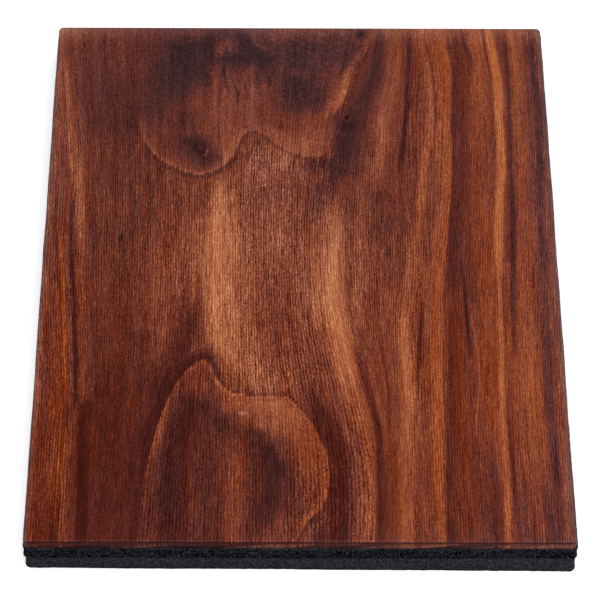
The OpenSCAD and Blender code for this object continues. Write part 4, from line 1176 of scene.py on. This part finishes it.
slabNodes = slabTree()
foamRubber = rubberMaterial("foamFinish", "foam_layer", foamFinish, rubberTexture)
foam = makeSlab("foamSlab", "foam_layer", foamSlab, slabNodes, foamRubber)
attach(foam, "base")
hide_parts("foam_layer")
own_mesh(foam)
matRubber = rubberMaterial("matFinish", "base_mat", matFinish, rubberTexture)
mat = makeSlab("rubberMat", "base_mat", rubberMat, slabNodes, matRubber)
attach(mat, "base")
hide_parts("base_mat")
print("foam and mat cut,", len(foam.data.polygons), "and", len(mat.data.polygons), "faces")


# Finishes of the pieces that keep their CAD shape

finishes = {
    # dark and light shade, metal, roughness range, noise cell (mm) along x, y and z, bump depth (mm)
    "bondFilm": ((38, 38, 40), (52, 52, 55), 0.0, (0.5, 0.7), (4, 4, 4), 0.01),
    "clearGlue": ((176, 160, 118), (200, 188, 150), 0.0, (0.2, 0.35), (3, 3, 3), 0.02),
    "brass": ((176, 136, 62), (214, 178, 98), 1.0, (0.22, 0.42), (0.3, 6, 0.3), 0.004),
    "ceramic": ((196, 190, 172), (222, 218, 204), 0.0, (0.5, 0.7), (0.8, 0.8, 0.8), 0.006),
    "silvering": ((176, 176, 174), (214, 214, 210), 1.0, (0.3, 0.5), (1, 1, 1), 0.004),
    "solder": ((138, 140, 142), (198, 200, 200), 1.0, (0.2, 0.5), (1.2, 1.2, 1.2), 0.04),
    "redInsulation": ((142, 18, 16), (176, 30, 24), 0.0, (0.35, 0.5), (2, 6, 2), 0.004),
    "blackInsulation": ((16, 16, 17), (32, 32, 33), 0.0, (0.35, 0.5), (2, 6, 2), 0.004),
    "clothTape": ((24, 24, 25), (58, 58, 60), 0.0, (0.7, 0.9), (0.5, 0.5, 0.5), 0.05),
    "blackAnodised": ((20, 20, 22), (36, 36, 39), 0.85, (0.32, 0.48), (0.25, 5, 0.25), 0.003),
    "zincSteel": ((160, 162, 166), (202, 204, 208), 1.0, (0.22, 0.4), (0.5, 0.5, 0.5), 0.004),
    "nickel": ((176, 172, 164), (214, 210, 202), 1.0, (0.12, 0.26), (2, 0.15, 2), 0.003),
    "frameSteel": ((168, 168, 164), (204, 204, 200), 1.0, (0.2, 0.36), (0.25, 4, 0.25), 0.003),
    "springBronze": ((186, 140, 88), (214, 172, 116), 1.0, (0.2, 0.36), (0.2, 4, 0.2), 0.003),
    "phenolic": ((88, 46, 22), (128, 72, 36), 0.0, (0.4, 0.6), (0.3, 2, 2), 0.01),
}
finishTexture = {   # shared by all of them
    "fine": (3.0, 0.6),                              # detail and roughness of that noise
    "cloud": ((5.0, 5.0, 5.0), noShift, 2.0, 0.5),
    "shares": (0.6, 0.4),                            # of fine and cloud in the shade
    "span": (0.3, 0.7),                              # shades of the two colours and roughnesses
}
pieceFinish = {
    "mat_bond_film": "bondFilm", "plate_bond_film": "bondFilm", "piezo_bond": "clearGlue",
    "piezo_brass_disc": "brass", "piezo_ceramic": "ceramic", "piezo_electrode": "silvering",
    "piezo_solder": "solder", "lug_solder": "solder", "hot_lead": "redInsulation",
    "ground_lead": "blackInsulation", "lead_tapes": "clothTape", "jack_bracket": "blackAnodised",
    "bracket_screws": "zincSteel", "jack_bushing": "nickel", "jack_washer": "nickel", "jack_nut": "nickel",
    "jack_frame": "frameSteel", "sleeve_lug": "springBronze", "tip_terminal": "springBronze",
    "tip_spring": "springBronze", "stack_wafers": "phenolic", "stack_rivets": "brass",
}


def plainMaterial(name, spec, shared):
    dark, light, metal, roughness, cell, depth = spec
    material, tree, shader = newMaterial(name)
    place = addNode(tree, "ShaderNodeTexCoord").outputs["Object"]
    fine = noise(tree, place, (cell, noShift, *shared["fine"]))
    cloud = noise(tree, place, shared["cloud"])
    fineShare, cloudShare = shared["shares"]
    shade = weightedSum(tree, (fine, fineShare), (cloud, cloudShare))
    low, high = shared["span"]
    colour = colourRamp(tree, shade, [(low, dark), (high, light)])
    shine = remap(tree, shade, low, high, *roughness)
    dress(tree, shader, colour, shine, fine, depth * mm, {"Metallic": metal})
    return material


finishMaterials = {name: plainMaterial(name, spec, finishTexture) for name, spec in finishes.items()}
for piece, finish in pieceFinish.items():
    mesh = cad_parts[piece].data
    mesh.materials.clear()
    mesh.materials.append(finishMaterials[finish])
print("finishes set on", len(pieceFinish), "CAD pieces")
